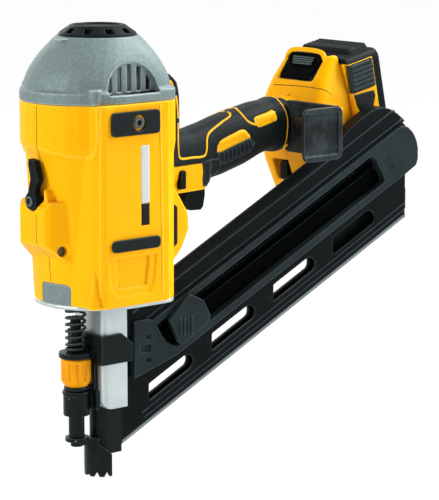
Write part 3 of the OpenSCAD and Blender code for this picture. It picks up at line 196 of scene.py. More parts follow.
def soft_rubber():
    """Thermoplastic rubber moulded over the handle: dull soft black with a close stipple."""
    made, tree, at = blank("rubber_overmoulded")
    stipple = add(tree, "ShaderNodeTexVoronoi", {"Vector": at, "Scale": per_m(1.1)}, feature="SMOOTH_F1")
    dust = add(tree, "ShaderNodeTexNoise", {"Vector": at, "Scale": per_m(12), "Detail": 6})
    flat = add(tree, "ShaderNodeMix", {0: dust, 6: linear("#0c1213"), 7: linear("#172022")}, data_type="RGBA")
    # Paler corners: partly rubbing, partly painted highlight
    colour = rubbed_and_highlit(tree, flat, "#344244")
    rough = add(tree, "ShaderNodeMapRange", {"Value": dust, "To Min": 0.48, "To Max": 0.72})
    bump = add(tree, "ShaderNodeBump", {"Height": stipple, "Strength": 0.25, "Distance": 0.25 * MM})
    shaded(tree, Base_Color=colour, Roughness=rough, Specular_IOR_Level=0.09, Sheen_Weight=0.03,
           Sheen_Roughness=0.5, Normal=bump)
    return made


def coated_extrusion():
    """Aluminium magazine, extruded and hard-coated black: satin, faint draw lines along it, paler edges, partly
    from rubbing and partly painted highlight.
    """
    made, tree, at = blank("aluminium_extruded_black_coat")
    turned = add(tree, "ShaderNodeMapping", {"Vector": at, "Rotation": (0, MAGAZINE_SLOPE, MAGAZINE_YAW)})
    drawn = add(tree, "ShaderNodeMapping", {"Vector": turned, "Scale": (per_m(60), per_m(0.6), per_m(0.6))})
    lines = add(tree, "ShaderNodeTexNoise", {"Vector": drawn, "Scale": 1.0, "Detail": 3})
    dust = add(tree, "ShaderNodeTexNoise", {"Vector": at, "Scale": per_m(9), "Detail": 6})
    flat = add(tree, "ShaderNodeMix", {0: dust, 6: linear("#06090a"), 7: linear("#0f1516")}, data_type="RGBA")
    colour = rubbed_and_highlit(tree, flat, "#3f4d4f")
    rough = add(tree, "ShaderNodeMapRange", {"Value": lines, "To Min": 0.3, "To Max": 0.5})
    bump = add(tree, "ShaderNodeBump", {"Height": lines, "Strength": 0.06, "Distance": 0.1 * MM})
    shaded(tree, Base_Color=colour, Roughness=rough, Specular_IOR_Level=0.07, Normal=bump)
    return made


def black_oxide():
    """Steel with an oiled black oxide: near-black, blotchy gloss and bright corners, partly worn and partly
    painted highlight.
    """
    made, tree, at = blank("steel_black_oxide")
    blotch = add(tree, "ShaderNodeTexNoise", {"Vector": at, "Scale": per_m(4), "Detail": 6})
    flat = add(tree, "ShaderNodeMix", {0: blotch, 6: linear("#0c1112"), 7: linear("#1e2627")}, data_type="RGBA")
    colour = rubbed_and_highlit(tree, flat, "#5b6264", BARE_AND_HIGHLIT_FROM, BARE_AND_HIGHLIT_TO)
    rough = add(tree, "ShaderNodeMapRange", {"Value": blotch, "To Min": 0.24, "To Max": 0.52})
    bump = add(tree, "ShaderNodeBump", {"Height": blotch, "Strength": 0.08, "Distance": 0.1 * MM})
    shaded(tree, Base_Color=colour, Metallic=0.5, Roughness=rough, Specular_IOR_Level=0.12, Normal=bump)
    return made


def rubbed_oxide():
    """Hook steel in black oxide, dulled by rubbing on timber: grey smears over near-black, bright corners, partly
    worn and partly painted highlight.
    """
    made, tree, at = blank("steel_black_oxide_rubbed")
    smear = add(tree, "ShaderNodeTexNoise", {"Vector": at, "Scale": per_m(22), "Detail": 5, "Roughness": 0.6})
    blotch = add(tree, "ShaderNodeTexNoise", {"Vector": at, "Scale": per_m(3), "Detail": 6})
    worn = add(tree, "ShaderNodeMapRange", {"Value": smear, "From Min": 0.4, "From Max": 0.66})
    flat = add(tree, "ShaderNodeMix", {0: worn, 6: linear("#141a1b"), 7: linear("#354042")}, data_type="RGBA")
    colour = rubbed_and_highlit(tree, flat, "#5b686a")
    rough = add(tree, "ShaderNodeMapRange", {"Value": blotch, "To Min": 0.32, "To Max": 0.6})
    shaded(tree, Base_Color=colour, Metallic=0.3, Roughness=rough, Specular_IOR_Level=0.12)
    return made


def blasted_casting():
    """Cast aluminium, bead-blasted: pale even metal with a fine sparkle and no mirror gloss."""
    made, tree, at = blank("aluminium_cast_blasted")
    grit = add(tree, "ShaderNodeTexNoise", {"Vector": at, "Scale": per_m(0.6), "Detail": 4})
    cloud = add(tree, "ShaderNodeTexNoise", {"Vector": at, "Scale": per_m(15), "Detail": 3})
    colour = add(tree, "ShaderNodeMix", {0: cloud, 6: linear("#aab6b6"), 7: linear("#ccd4d4")}, data_type="RGBA")
    rough = add(tree, "ShaderNodeMapRange", {"Value": grit, "To Min": 0.36, "To Max": 0.58})
    bump = add(tree, "ShaderNodeBump", {"Height": grit, "Strength": 0.2, "Distance": 0.15 * MM})
    shaded(tree, Base_Color=colour, Metallic=0.9, Roughness=rough, Normal=bump)
    return made


def wheel_nylon():
    """Nylon depth wheel, moulded in deep yellow: slightly glossier than the housing."""
    made, tree, at = blank("nylon_wheel_moulded")
    cloud = add(tree, "ShaderNodeTexNoise", {"Vector": at, "Scale": per_m(6), "Detail": 4})
    colour = add(tree, "ShaderNodeMix", {0: cloud, 6: linear("#dc8e00"), 7: linear("#efa200")}, data_type="RGBA")
    rough = add(tree, "ShaderNodeMapRange", {"Value": cloud, "To Min": 0.26, "To Max": 0.48})
    bump = add(tree, "ShaderNodeBump", {"Height": cloud, "Strength": 0.05, "Distance": 0.1 * MM})
    shaded(tree, Base_Color=colour, Roughness=rough, Specular_IOR_Level=0.12, Normal=bump)
    return made


def plated_screw():
    """Steel screws in dark zinc: grey metal with fine turning marks."""
    made, tree, at = blank("steel_dark_zinc")
    marks = add(tree, "ShaderNodeTexNoise", {"Vector": at, "Scale": per_m(0.8), "Detail": 3})
    colour = add(tree, "ShaderNodeMix", {0: marks, 6: linear("#3c4143"), 7: linear("#6f7577")}, data_type="RGBA")
    rough = add(tree, "ShaderNodeMapRange", {"Value": marks, "To Min": 0.24, "To Max": 0.5})
    shaded(tree, Base_Color=colour, Metallic=1.0, Roughness=rough)
    return made


def ground_steel():
    """Spring and strip steel, ground: bright with fine scratches along the magazine."""
    made, tree, at = blank("steel_ground")
    turned = add(tree, "ShaderNodeMapping", {"Vector": at, "Rotation": (0, MAGAZINE_SLOPE, MAGAZINE_YAW)})
    drawn = add(tree, "ShaderNodeMapping", {"Vector": turned, "Scale": (per_m(30), per_m(0.4), per_m(0.4))})
    lines = add(tree, "ShaderNodeTexNoise", {"Vector": drawn, "Scale": 1.0, "Detail": 3})
    colour = add(tree, "ShaderNodeMix", {0: lines, 6: linear("#5d6668"), 7: linear("#98a0a0")}, data_type="RGBA")
    rough = add(tree, "ShaderNodeMapRange", {"Value": lines, "To Min": 0.16, "To Max": 0.42})
    shaded(tree, Base_Color=colour, Metallic=1.0, Roughness=rough)
    return made


def turned_steel():
    """Flywheel and roller steel, turned: mid grey with fine tool marks."""
    made, tree, at = blank("steel_turned")
    rings = add(tree, "ShaderNodeTexNoise", {"Vector": at, "Scale": per_m(0.5), "Detail": 2})
    colour = add(tree, "ShaderNodeMix", {0: rings, 6: linear("#707678"), 7: linear("#a4aaac")}, data_type="RGBA")
    rough = add(tree, "ShaderNodeMapRange", {"Value": rings, "To Min": 0.2, "To Max": 0.46})
    shaded(tree, Base_Color=colour, Metallic=1.0, Roughness=rough)
    return made


def enamelled_copper():
    """Enamelled copper wire, wound: red-brown strands with gloss."""
    made, tree, at = blank("copper_wire_enamelled")
    wire = add(tree, "ShaderNodeTexWave", {"Vector": at, "Scale": per_m(4), "Distortion": 1.5})
    wire = wire.outputs["Fac"]
    colour = add(tree, "ShaderNodeMix", {0: wire, 6: linear("#6e3418"), 7: linear("#b8672f")}, data_type="RGBA")
    bump = add(tree, "ShaderNodeBump", {"Height": wire, "Strength": 0.4, "Distance": 0.2 * MM})
    shaded(tree, Base_Color=colour, Metallic=0.8, Roughness=0.3, Normal=bump)
    return made


def wrapped_coil():
    """Taped coil and moulded switch body: dull dark grey with tape ridges."""
    made, tree, at = blank("coil_tape_wrapped")
    tape = add(tree, "ShaderNodeTexWave", {"Vector": at, "Scale": per_m(9)}, bands_direction="Z").outputs["Fac"]
    colour = add(tree, "ShaderNodeMix", {0: tape, 6: linear("#222527"), 7: linear("#3a3e40")}, data_type="RGBA")
    bump = add(tree, "ShaderNodeBump", {"Height": tape, "Strength": 0.2, "Distance": 0.2 * MM})
    shaded(tree, Base_Color=colour, Roughness=0.55, Normal=bump)
    return made


def lacquered_board():
    """Fibreglass board under green lacquer: glossy, with the weave just showing."""
    made, tree, at = blank("fibreglass_board_lacquered")
    weave = add(tree, "ShaderNodeTexChecker", {"Vector": at, "Scale": per_m(1.2)}).outputs["Fac"]
    colour = add(tree, "ShaderNodeMix", {0: weave, 6: linear("#0f5a34"), 7: linear("#156b3f")}, data_type="RGBA")
    shaded(tree, Base_Color=colour, Roughness=0.25)
    return made


def shrink_sleeve():
    """Shrink film on steel cells: smooth blue gloss."""
    made, tree, at = blank("shrink_film_on_cells")
    cloud = add(tree, "ShaderNodeTexNoise", {"Vector": at, "Scale": per_m(10), "Detail": 2})
    colour = add(tree, "ShaderNodeMix", {0: cloud, 6: linear("#2a5680"), 7: linear("#4077a8")}, data_type="RGBA")
    shaded(tree, Base_Color=colour, Roughness=0.22)
    return made


def label_film(name, low, high):
    """Polyester label film, smooth and faintly glossy; in brown, nylon in the shade of a parting line."""
    made, tree, at = blank(name)
    print_grain = add(tree, "ShaderNodeTexNoise", {"Vector": at, "Scale": per_m(1.5), "Detail": 3})
    colour = add(tree, "ShaderNodeMix", {0: print_grain, 6: linear(low), 7: linear(high)}, data_type="RGBA")
    rough = add(tree, "ShaderNodeMapRange", {"Value": print_grain, "To Min": 0.3, "To Max": 0.42})
    shaded(tree, Base_Color=colour, Roughness=rough, Specular_IOR_Level=0.12)
    return made


def dullest_black():
    """The dullest black of the tool, with faint marks along the track: painted shade laid as sheets on the
    magazine's track floor, and the black of the window plate and its pad.
    """
    made, tree, at = blank("dullest_black_and_track_shade")
    turned = add(tree, "ShaderNodeMapping", {"Vector": at, "Rotation": (0, MAGAZINE_SLOPE, MAGAZINE_YAW)})
    drawn = add(tree, "ShaderNodeMapping", {"Vector": turned, "Scale": (per_m(40), per_m(1.5), per_m(1.5))})
    rubs = add(tree, "ShaderNodeTexNoise", {"Vector": drawn, "Scale": 1.0, "Detail": 3})
    colour = add(tree, "ShaderNodeMix", {0: rubs, 6: linear("#020303"), 7: linear("#070909")}, data_type="RGBA")
    rough = add(tree, "ShaderNodeMapRange", {"Value": rubs, "To Min": 0.7, "To Max": 0.9})
    shaded(tree, Base_Color=colour, Roughness=rough, Specular_IOR_Level=0.02)
    return made


FINISH = {
    "yellow_nylon": glass_filled_nylon(),
    "cast_magnesium": painted_die_casting(),
    "black_nylon": black_nylon(),
    "bumper_rubber": soft_rubber(),
    "black_magazine": coated_extrusion(),
    "black_oxide_steel": black_oxide(),
    "cast_aluminium": blasted_casting(),
    "orange_nylon": wheel_nylon(),
    "zinc_screws": plated_screw(),
    "bright_steel": ground_steel(),
    "machined_steel": turned_steel(),
    "motor_copper": enamelled_copper(),
    "solenoid_black": wrapped_coil(),
    "circuit_board": lacquered_board(),
    "cell_sleeve": shrink_sleeve(),
}
BLACK_FILM = label_film("polyester_label_black", "#0c0e0f", "#17191a")
PALE_FILM = label_film("polyester_label_white", "#bcc2c2", "#d2d7d7")
PARTING_LINE = label_film("nylon_parting_line_shaded", "#5a3a02", "#7a5204")
DULLEST_BLACK, FILLED_BLACK, RUBBED_OXIDE = dullest_black(), filled_black_nylon(), rubbed_oxide()


def dress(piece, finish):
    """Gives a piece one finish all over."""
    piece.data.materials.clear()
    piece.data.materials.append(finish)


def place(piece, body, slot, finish=None):
    """Gives a new piece its finish and lets it ride."""
    dress(piece, finish or FINISH[slot])
    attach(piece, body)
    return piece


def settled(piece):
    """Piece with its modifiers worked into its mesh."""
    view = bpy.context.evaluated_depsgraph_get()
    mesh = bpy.data.meshes.new_from_object(piece.evaluated_get(view))
    piece.modifiers.clear()
    piece.data = mesh
    return piece


def piece_of(name, corners, faces):
    """New smooth-shaded object from corners in millimetres."""
    mesh = bpy.data.meshes.new(name)
    mesh.from_pydata([Vector(c) * MM for c in corners], [], faces)
    tidy = bmesh.new()
    tidy.from_mesh(mesh)
    bmesh.ops.recalc_face_normals(tidy, faces=tidy.faces)
    tidy.to_mesh(mesh)
    tidy.free()
    for face in mesh.polygons:
        face.use_smooth = True
    piece = bpy.data.objects.new(name, mesh)
    scene.collection.objects.link(piece)
    return piece


def tube_faces(first, rings, around):
    """Faces of a tube made of rings of corners, closed at both ends."""
    last = first + (rings - 1) * around
    faces = [(low + k, low + (k + 1) % around, low + around + (k + 1) % around, low + around + k)
             for low in range(first, last, around) for k in range(around)]
    return faces + [tuple(range(first, first + around)), tuple(range(last, last + around))]


WELD = 0.002
# Node, low and high corner of a zone with softer edges in millimetres, further rounds of smoothing
SOFT_ZONE = {
    "left_housing": ((186, -60, 226), (250, 60, 300), 22), "right_housing": ((186, -60, 226), (250, 60, 300), 22),
    "battery_case": ((216, -60, 246), (221.5, 60, 300), 14),
}


def moulded(name, voxel, rounds, most_faces):
    """Copy of a CAD node with edges rounded as a mould or a casting leaves them, more so in its soft zone."""
    mesh = nodes[name].data.copy()
    welded = bmesh.new()
    welded.from_mesh(mesh)
    bmesh.ops.remove_doubles(welded, verts=welded.verts, dist=WELD * MM)
    welded.to_mesh(mesh)
    welded.free()
    piece = bpy.data.objects.new(name + "_moulded", mesh)
    scene.collection.objects.link(piece)
    grid = piece.modifiers.new("grid", "REMESH")
    grid.mode = "VOXEL"
    grid.voxel_size = voxel * MM
    grid.use_smooth_shade = True
    ease = piece.modifiers.new("ease", "SMOOTH")
    ease.factor = 0.5
    ease.iterations = rounds
    settled(piece)
    if name in SOFT_ZONE:
        low, high, more = SOFT_ZONE[name]
        chosen = piece.vertex_groups.new(name="soft")
        inside = [v.index for v in piece.data.vertices
                  if all(a * MM < c < b * MM for a, c, b in zip(low, v.co, high))]
        chosen.add(inside, 1.0, "REPLACE")
        round_off = piece.modifiers.new("round_off", "SMOOTH")
        round_off.factor = 0.5
        round_off.iterations = more
        round_off.vertex_group = "soft"
        settled(piece)
    faces = 2 * len(piece.data.polygons)
    if faces > most_faces:
        thin = piece.modifiers.new("thin", "DECIMATE")
        thin.ratio = most_faces / faces
        settled(piece)
    for face in piece.data.polygons:
        face.use_smooth = True
    place(piece, body_of[name], slot_of[name])
    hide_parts(name)
    return piece


for name, cad in nodes.items():
    dress(cad, FINISH[slot_of[name]])

# Node, grid in millimetres, rounds of smoothing, most triangles
MOULDED = [
    ("left_housing", 0.8, 5, 120000), ("right_housing", 0.8, 5, 120000), ("end_cap", 0.7, 5, 90000),
    ("top_cover", 0.5, 3, 30000), ("upper_bumpers", 0.45, 4, 20000), ("lower_bumpers", 0.45, 4, 14000),
    ("stall_lever", 0.35, 4, 20000), ("nosepiece", 0.6, 4, 50000), ("trip_carriage", 0.45, 2, 50000),
    ("guide_sleeve", 0.4, 3, 24000), ("contact_foot", 0.35, 2, 30000), ("depth_wheel", 0.35, 2, 40000),
    ("left_grip", 0.5, 14, 60000), ("right_grip", 0.5, 14, 60000), ("trigger", 0.4, 5, 20000),
    ("battery_case", 0.55, 3, 80000), ("battery_cover", 0.6, 4, 60000), ("left_release", 0.35, 2, 24000),
    ("right_release", 0.35, 2, 24000), ("foot_insert", 0.35, 2, 24000), ("rafter_hook", 0.5, 4, 30000),
    ("magazine_body", 0.6, 3, 140000), ("magazine_cover", 0.5, 3, 70000), ("magazine_tail", 0.5, 4, 16000),
    ("pusher", 0.4, 3, 40000), ("drive_guide", 0.5, 3, 30000), ("drive_selector", 0.35, 3, 12000),
    ("trigger_lock", 0.4, 3, 10000), ("nail_stop", 0.35, 3, 8000), ("depth_rod", 0.4, 2, 20000),
    ("nose_skirt", 0.4, 3, 10000),
]
piece_for = {name: moulded(name, *row) for name, *row in MOULDED}

# Small pieces laid on the skins of the larger ones: depth of their foot in the skin, steps along a line and over a
# face, height of an insert's rim as a share of its own, least distance between its corners, thickness of a film
SINK = 0.5
LINE_STEP, FILL_STEP, RIDGE_STEP = 0.8, 1.3, 4.0
RIM_SHARE, LEAST_APART, FILM = 0.35, 1e-5, 0.12
# Share of a line's half width, share of its height
LINE_PROFILE = ((-1.0, 0.0), (-0.8, 0.7), (-0.35, 1.0), (0.35, 1.0), (0.8, 0.7), (1.0, 0.0))


def skin_of(*names):
    """Search tree over the faces of the shown pieces with these names, in metres."""
    corners, faces = [], []
    for name in names:
        mesh = (piece_for.get(name) or nodes[name]).data
        first = len(corners)
        corners += [v.co.copy() for v in mesh.vertices]
        faces += [[first + i for i in f.vertices] for f in mesh.polygons]
    return BVHTree.FromPolygons(corners, faces)


def laid(skin, at):
    """Nearest place on a skin and its outward direction, in millimetres."""
    spot, out, _, _ = skin.find_nearest(Vector(at) * MM)
    return spot / MM, out


def eased(route, step):
    """Points along a smooth curve through a route, about a step apart."""
    route = [Vector(p) for p in route]
    ends = [2 * route[0] - route[1]] + route + [2 * route[-1] - route[-2]]
    made = []
    for before, here, there, after in zip(ends, ends[1:], ends[2:], ends[3:]):
        count = max(1, round((there - here).length / step))
        for k in range(count):
            t = k / count
            made.append(0.5 * (2 * here + (there - before) * t
                               + (2 * before - 5 * here + 4 * there - after) * t * t
                               + (3 * here - before - 3 * there + after) * t ** 3))
    return made + [route[-1]]


def straight(route, step):
    """Points along the straight runs of a route, about a step apart."""
    route = [Vector(p) for p in route]
    made = []
    for here, there in zip(route, route[1:]):
        count = max(1, round((there - here).length / step))
        made += [here.lerp(there, k / count) for k in range(count)]
    return made + [route[-1]]


def line_on(name, skin, points, width, height):
    """Moulded line with a soft crown, laid along points on a skin."""
    spots = [laid(skin, p) for p in points]
    last = len(spots) - 1
    corners = []
    for i, (spot, _) in enumerate(spots):
        run = spots[min(i + 1, last)][0] - spots[max(i - 1, 0)][0]
        out = sum((spots[k][1] for k in range(max(i - 2, 0), min(i + 2, last) + 1)), Vector()).normalized()
        side = out.cross(run).normalized()
        corners.append(spot - side * width / 2 - out * SINK)
        corners += [spot + side * width / 2 * s + out * height * h for s, h in LINE_PROFILE]
        corners.append(spot + side * width / 2 - out * SINK)
    return piece_of(name, corners, tube_faces(0, len(spots), len(LINE_PROFILE) + 2))


def insert_on(name, skin, outline, height, step=FILL_STEP):
    """Raised insert with a soft rim, its outline and face laid on a skin."""
    rim = straight(list(outline) + [outline[0]], step)[:-1]
    centre = sum(rim, Vector()) / len(rim)
    out = sum(((a - centre).cross(b - centre) for a, b in zip(rim, rim[1:] + rim[:1])), Vector()).normalized()
    east = (rim[0] - centre).normalized()
    north = out.cross(east)
    flat = [Vector(((p - centre).dot(east), (p - centre).dot(north))) for p in rim]
    lows = [min(p[k] for p in flat) for k in (0, 1)]
    highs = [max(p[k] for p in flat) for k in (0, 1)]
    grid = [Vector((lows[0] + step * (i + 0.5), lows[1] + step * (j + 0.5)))
            for i in range(int((highs[0] - lows[0]) / step)) for j in range(int((highs[1] - lows[1]) / step))]
    loop = [(k, (k + 1) % len(flat)) for k in range(len(flat))]
    spread, _, faces, came_from, _, _ = delaunay_2d_cdt(flat + grid, loop, [], 1, LEAST_APART)
    used = sorted({k for f in faces for k in f})
    number = {old: new for new, old in enumerate(used)}
    corners, skirt = [], {}
    for old in used:
        spot, up = laid(skin, centre + east * spread[old][0] + north * spread[old][1])
        on_rim = any(k < len(flat) for k in came_from[old])
        corners.append(spot + up * height * (RIM_SHARE if on_rim else 1.0))
        if on_rim:
            skirt[min(came_from[old])] = (number[old], spot - up * SINK)
    faces = [tuple(number[k] for k in f) for f in faces]
    ring = [skirt[k] for k in sorted(skirt)]
    low = len(corners)
    corners += [spot for _, spot in ring]
    faces += [(ring[k][0], ring[(k + 1) % len(ring)][0], low + (k + 1) % len(ring), low + k)
              for k in range(len(ring))]
    return piece_of(name, corners, faces)


def film_on(name, skin, outline, finish, body, slot):
    """Thin plain film stuck on a skin."""
    return place(insert_on(name, skin, outline, FILM), body, slot, finish)


# Springs: one round wire each, with closed turns at both ends and open turns between them.
# The pitch opens after this share of a turn, at this rate per turn.
STEPS_A_TURN, WIRE_SIDES, UPRIGHT = 44, 12, Vector((0, 0, 1))
CLOSED_SHARE, OPENING_RATE = 0.75, 2


def wound_springs(name, spots, radius, wire, low, high, closed_pitch, open_turns):
    """Springs of one size, wound about upright lines at the spots."""
    open_pitch = (high - low - 2 * wire - 2 * closed_pitch) / open_turns
    count = (open_turns + 2) * STEPS_A_TURN
    rises = [0.0]
    for i in range(1, count + 1):
        turn = i / STEPS_A_TURN
        blend = min(1.0, max(0.0, (min(turn, open_turns + 2 - turn) - CLOSED_SHARE) * OPENING_RATE))
        rises.append(rises[-1] + (closed_pitch + (open_pitch - closed_pitch) * blend) / STEPS_A_TURN)
    stretch = (high - low - 2 * wire) / rises[-1]
    corners, faces = [], []
    for x, y in spots:
        first = len(corners)
        for i, rise in enumerate(rises):
            angle = math.tau * i / STEPS_A_TURN
            out = Vector((math.cos(angle), math.sin(angle), 0))
            middle = Vector((x, y, low + wire + rise * stretch)) + out * radius
            for k in range(WIRE_SIDES):
                turned = math.tau * k / WIRE_SIDES
                corners.append(middle + wire * (out * math.cos(turned) + UPRIGHT * math.sin(turned)))
        faces += tube_faces(first, len(rises), WIRE_SIDES)
    return piece_of(name, corners, faces)


TRIP_X, TRIP_TOP = -22.5, 115.0
trip_wire = wound_springs("trip_spring_wire", [(TRIP_X, 0)], radius=6.8, wire=1.1, low=78.9, high=TRIP_TOP,
                          closed_pitch=2.25, open_turns=6)
place(trip_wire, "frame", slot_of["trip_spring"])
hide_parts("trip_spring")
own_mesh(trip_wire)

RETURN_AT, RETURN_FOOT = [(-2.25, -20.0), (-2.25, 20.0)], 134.0
return_wire = wound_springs("return_spring_wires", RETURN_AT, radius=4.95, wire=0.6, low=RETURN_FOOT, high=266.9,
                            closed_pitch=1.25, open_turns=14)
place(return_wire, "frame", slot_of["return_springs"])
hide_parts("return_springs")
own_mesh(return_wire)

# Yellow lines and inserts of the handle, given for its left side. The handle leans to the right from its front.
HANDLE_FROM, HANDLE_LEAN = 40.0, 7.0 / 144
HANDLE_LINES = {
    "spine_dash_top": [(45, -26, 273), (46.9, -26, 271.1), (49, -26, 266)],
    "spine_dash_low": [(51.2, -25.9, 261.4), (52.6, -25.6, 254), (53.5, -25.3, 245)],
    "spine_line": [(53.6, -25.2, 241.5), (53.6, -25.2, 229), (54.3, -24.9, 221.5), (54.8, -24.6, 219.4),
                   (55.4, -24.2, 217.6)],
    "thumb_line": [
        (60.8, -17.4, 216.8), (61.5, -17.35, 215.2), (63, -17.3, 213.8), (66, -17.1, 213.2), (74.3, -16.4, 213.2),
        (85.5, -15.6, 213), (89, -15.0, 215.5), (91.4, -13.4, 224.5), (94.5, -11.6, 228.4), (99.4, -9.8, 231),
        (111.4, -7.3, 235.7), (119.5, -5.6, 238.5), (122.6, -3.7, 239.8), (124.6, -0.4, 240.9),
        (124.9, 2.4, 241.3)],
    "palm_line": [(135.2, 4.2, 243.4), (132.4, -1.5, 242.2), (131.6, -6.8, 239.8), (132.6, -10.2, 236.4),
                  (135.4, -11.8, 233.6), (140.6, -12.6, 231.8)],
    "collar_ring": [(174.1, 6.2, 249), (172.4, -1.0, 247.6), (171.5, -5.0, 246.0), (171.9, -10.1, 241.3),
                    (172.9, -12.8, 232.7), (172.6, -12.7, 221.8), (173.0, -10.4, 215.0), (173.4, -7.4, 211.3)],
}
LINE_WIDTH, RING_WIDTH, LINE_HEIGHT = 1.7, 1.0, 0.35
HANDLE_INSERTS = {
    "finger_insert": [(100.2, -14.6, 214.6), (100.9, -14.2, 219.4), (103.4, -13.9, 222.4), (106.8, -13.7, 224.0),
                      (124.4, -13.0, 229.2), (127.4, -13.1, 229.3), (129.6, -13.2, 228.2), (134.0, -13.4, 223.9)],
    "palm_insert": [(139.6, -12.0, 233.4), (139.9, -11.2, 236.0), (142.2, -10.4, 237.5), (161.2, -9.2, 240.4),
                    (163.2, -9.4, 240.0), (163.6, -11.2, 235.2), (162.0, -11.9, 233.0), (146.5, -12.9, 229.9),
                    (143.6, -12.9, 229.8), (140.8, -12.7, 231.4)],
}
FINGER_PAD = [(101.0, -14.6, 213.6), (134.5, -13.4, 222.8), (139.0, -13.2, 218.0), (135.0, -13.2, 211.5),
              (108.0, -14.2, 204.0), (102.5, -14.6, 207.0)]
INSERT_HEIGHT, PAD_HEIGHT = 0.6, 0.55
FINGER_RIB_PITCH, FINGER_RIB_RISE, FINGER_RIB_WIDTH, FINGER_RIB_HEIGHT = 4.0, 1.1, 1.6, 1.0
FINGER_RIBS = [((107.0 + FINGER_RIB_PITCH * k, -14.3, 213.6 + FINGER_RIB_RISE * k),
                (108.0 + FINGER_RIB_PITCH * k, -14.0, 206.6 + FINGER_RIB_RISE * k)) for k in range(8)]


def across(route, side):
    """Left-hand route of the handle, or its mirror image on the right side."""
    if side == "left":
        return [Vector(p) for p in route]
    return [Vector((x, 2 * HANDLE_LEAN * (x - HANDLE_FROM) - y, z)) for x, y, z in route]


for side in ("left", "right"):
    rubber = skin_of(side + "_grip", side + "_housing")
    for name, route in HANDLE_LINES.items():
        wide = RING_WIDTH if name == "collar_ring" else LINE_WIDTH
        line = line_on(f"{side}_{name}", rubber, eased(across(route, side), LINE_STEP), wide, LINE_HEIGHT)
        place(line, "frame", "yellow_nylon")
    for name, outline in HANDLE_INSERTS.items():
        insert = insert_on(f"{side}_{name}", rubber, across(outline, side), INSERT_HEIGHT)
        place(insert, "frame", "yellow_nylon")
    pad = insert_on(f"{side}_finger_pad", rubber, across(FINGER_PAD, side), PAD_HEIGHT)
    place(pad, "frame", "bumper_rubber")
    for number, route in enumerate(FINGER_RIBS):
        rib = line_on(f"{side}_finger_rib_{number}", rubber, straight(across(route, side), LINE_STEP),
                      FINGER_RIB_WIDTH, FINGER_RIB_HEIGHT)
        place(rib, "frame", "bumper_rubber")

# Rubber that runs down behind the trigger, and the collar behind the handle's ring
TRIGGER_WRAP = {
    "trigger_wrap": [(85.4, -15.2, 208.5), (94.0, -14.8, 210.3), (95.5, -15.0, 203.0), (94.6, -15.0, 199.0),
                     (93.6, -15.0, 195.0), (92.8, -15.0, 192.0), (90.5, -15.0, 190.0), (86.0, -15.0, 190.5),
                     (85.6, -15.0, 196.0), (86.3, -15.0, 202.0)],
    "trigger_web": [(92.5, -15.0, 210.0), (104.8, -14.0, 210.4), (105.8, -12.8, 206.0), (104.0, -10.8, 200.0),
                    (102.0, -8.0, 196.0), (97.0, -9.5, 195.5), (94.8, -13.0, 199.0), (93.8, -15.0, 203.0)],
}
COLLAR = [(179.0, 5.0, 248.2), (178.5, 0, 247.0), (178.0, -6.0, 243.5), (177.6, -9.6, 238.0),
          (177.5, -10.5, 233.7), (177.5, -10.8, 226.0), (177.6, -9.5, 218.0), (178.0, -6.0, 212.5)]
WRAP_HEIGHT, COLLAR_WIDTH, COLLAR_HEIGHT = 0.4, 6.0, 0.45
for side in ("left", "right"):
    half = skin_of(side + "_housing", side + "_grip")
    for name, outline in TRIGGER_WRAP.items():
        place(insert_on(f"{side}_{name}", half, across(outline, side), WRAP_HEIGHT), "frame", "bumper_rubber")
    collar = line_on(f"{side}_collar", half, eased(across(COLLAR, side), LINE_STEP), COLLAR_WIDTH, COLLAR_HEIGHT)
    place(collar, "frame", "bumper_rubber")

# Rims moulded on the housing, round the end of the upper band and along the flat panel: route, width, height
RIMS = {
    "band_rim": ([(-35.3, -43.7, 261), (-35.2, -44, 249.2), (-35.2, -43.9, 238.7), (-35.6, -43.2, 232.3),
                  (-37.3, -41.3, 228.1), (-38.9, -35.4, 225.5), (-44.2, -29.8, 225.7), (-50.7, -21, 227.2),
                  (-54.7, -12.5, 228.7), (-57.2, -5.5, 230.7)], 3.0, 0.55),
    "panel_rim_front": ([(-33.9, -46.2, 260), (-33.9, -46.2, 245.8), (-34.3, -45.5, 161.1), (-34.4, -45.2, 127)],
                        2.2, 0.5),
    "panel_rim_rear": ([(17.6, -48.5, 260), (18.6, -48.5, 191), (19.4, -48.5, 124)], 2.0, 0.45),
}
for side, mirror in (("left", 1), ("right", -1)):
    half = skin_of(side + "_housing")
    for name, (route, wide, high) in RIMS.items():
        route = [(x, y * mirror, z) for x, y, z in route]
        place(line_on(f"{side}_{name}", half, eased(route, LINE_STEP), wide, high), "frame", "yellow_nylon")

# Yellow skin over the joint of the halves in the foot, where the photograph shows none.
# Share of the half width, height over the chord between its two sides.
COVER_HALF = 3.0
COVER_PROFILE = ((-1.4, -0.5), (-1.0, 0.02), (-0.5, 0.1), (0, 0.13), (0.5, 0.1), (1.0, 0.02), (1.4, -0.5))
SEAM_COVER = [(199.0, 7, 261.6), (197.5, 7, 259.9), (195.6, 7, 256), (193.6, 7, 251.6), (192.0, 7, 249.6)]


def seam_cover(skin):
    """Sheet over the joint, hung between the skins on its two sides."""
    route = eased(SEAM_COVER, LINE_STEP)
    corners, faces = [], []
    for point in route:
        low, low_out = laid(skin, point - Vector((0, COVER_HALF, 0)))
        high, high_out = laid(skin, point + Vector((0, COVER_HALF, 0)))
        corners += [low.lerp(high, 0.5 + share / 2) + (low_out + high_out).normalized() * up
                    for share, up in COVER_PROFILE]
    wide = len(COVER_PROFILE)
    for k in range(len(route) - 1):
        faces += [(k * wide + i, k * wide + i + 1, (k + 1) * wide + i + 1, (k + 1) * wide + i)
                  for i in range(wide - 1)]
    return piece_of("seam_cover", corners, faces)


piece_for["seam_cover"] = place(seam_cover(skin_of("left_housing", "right_housing")), "frame", "yellow_nylon")

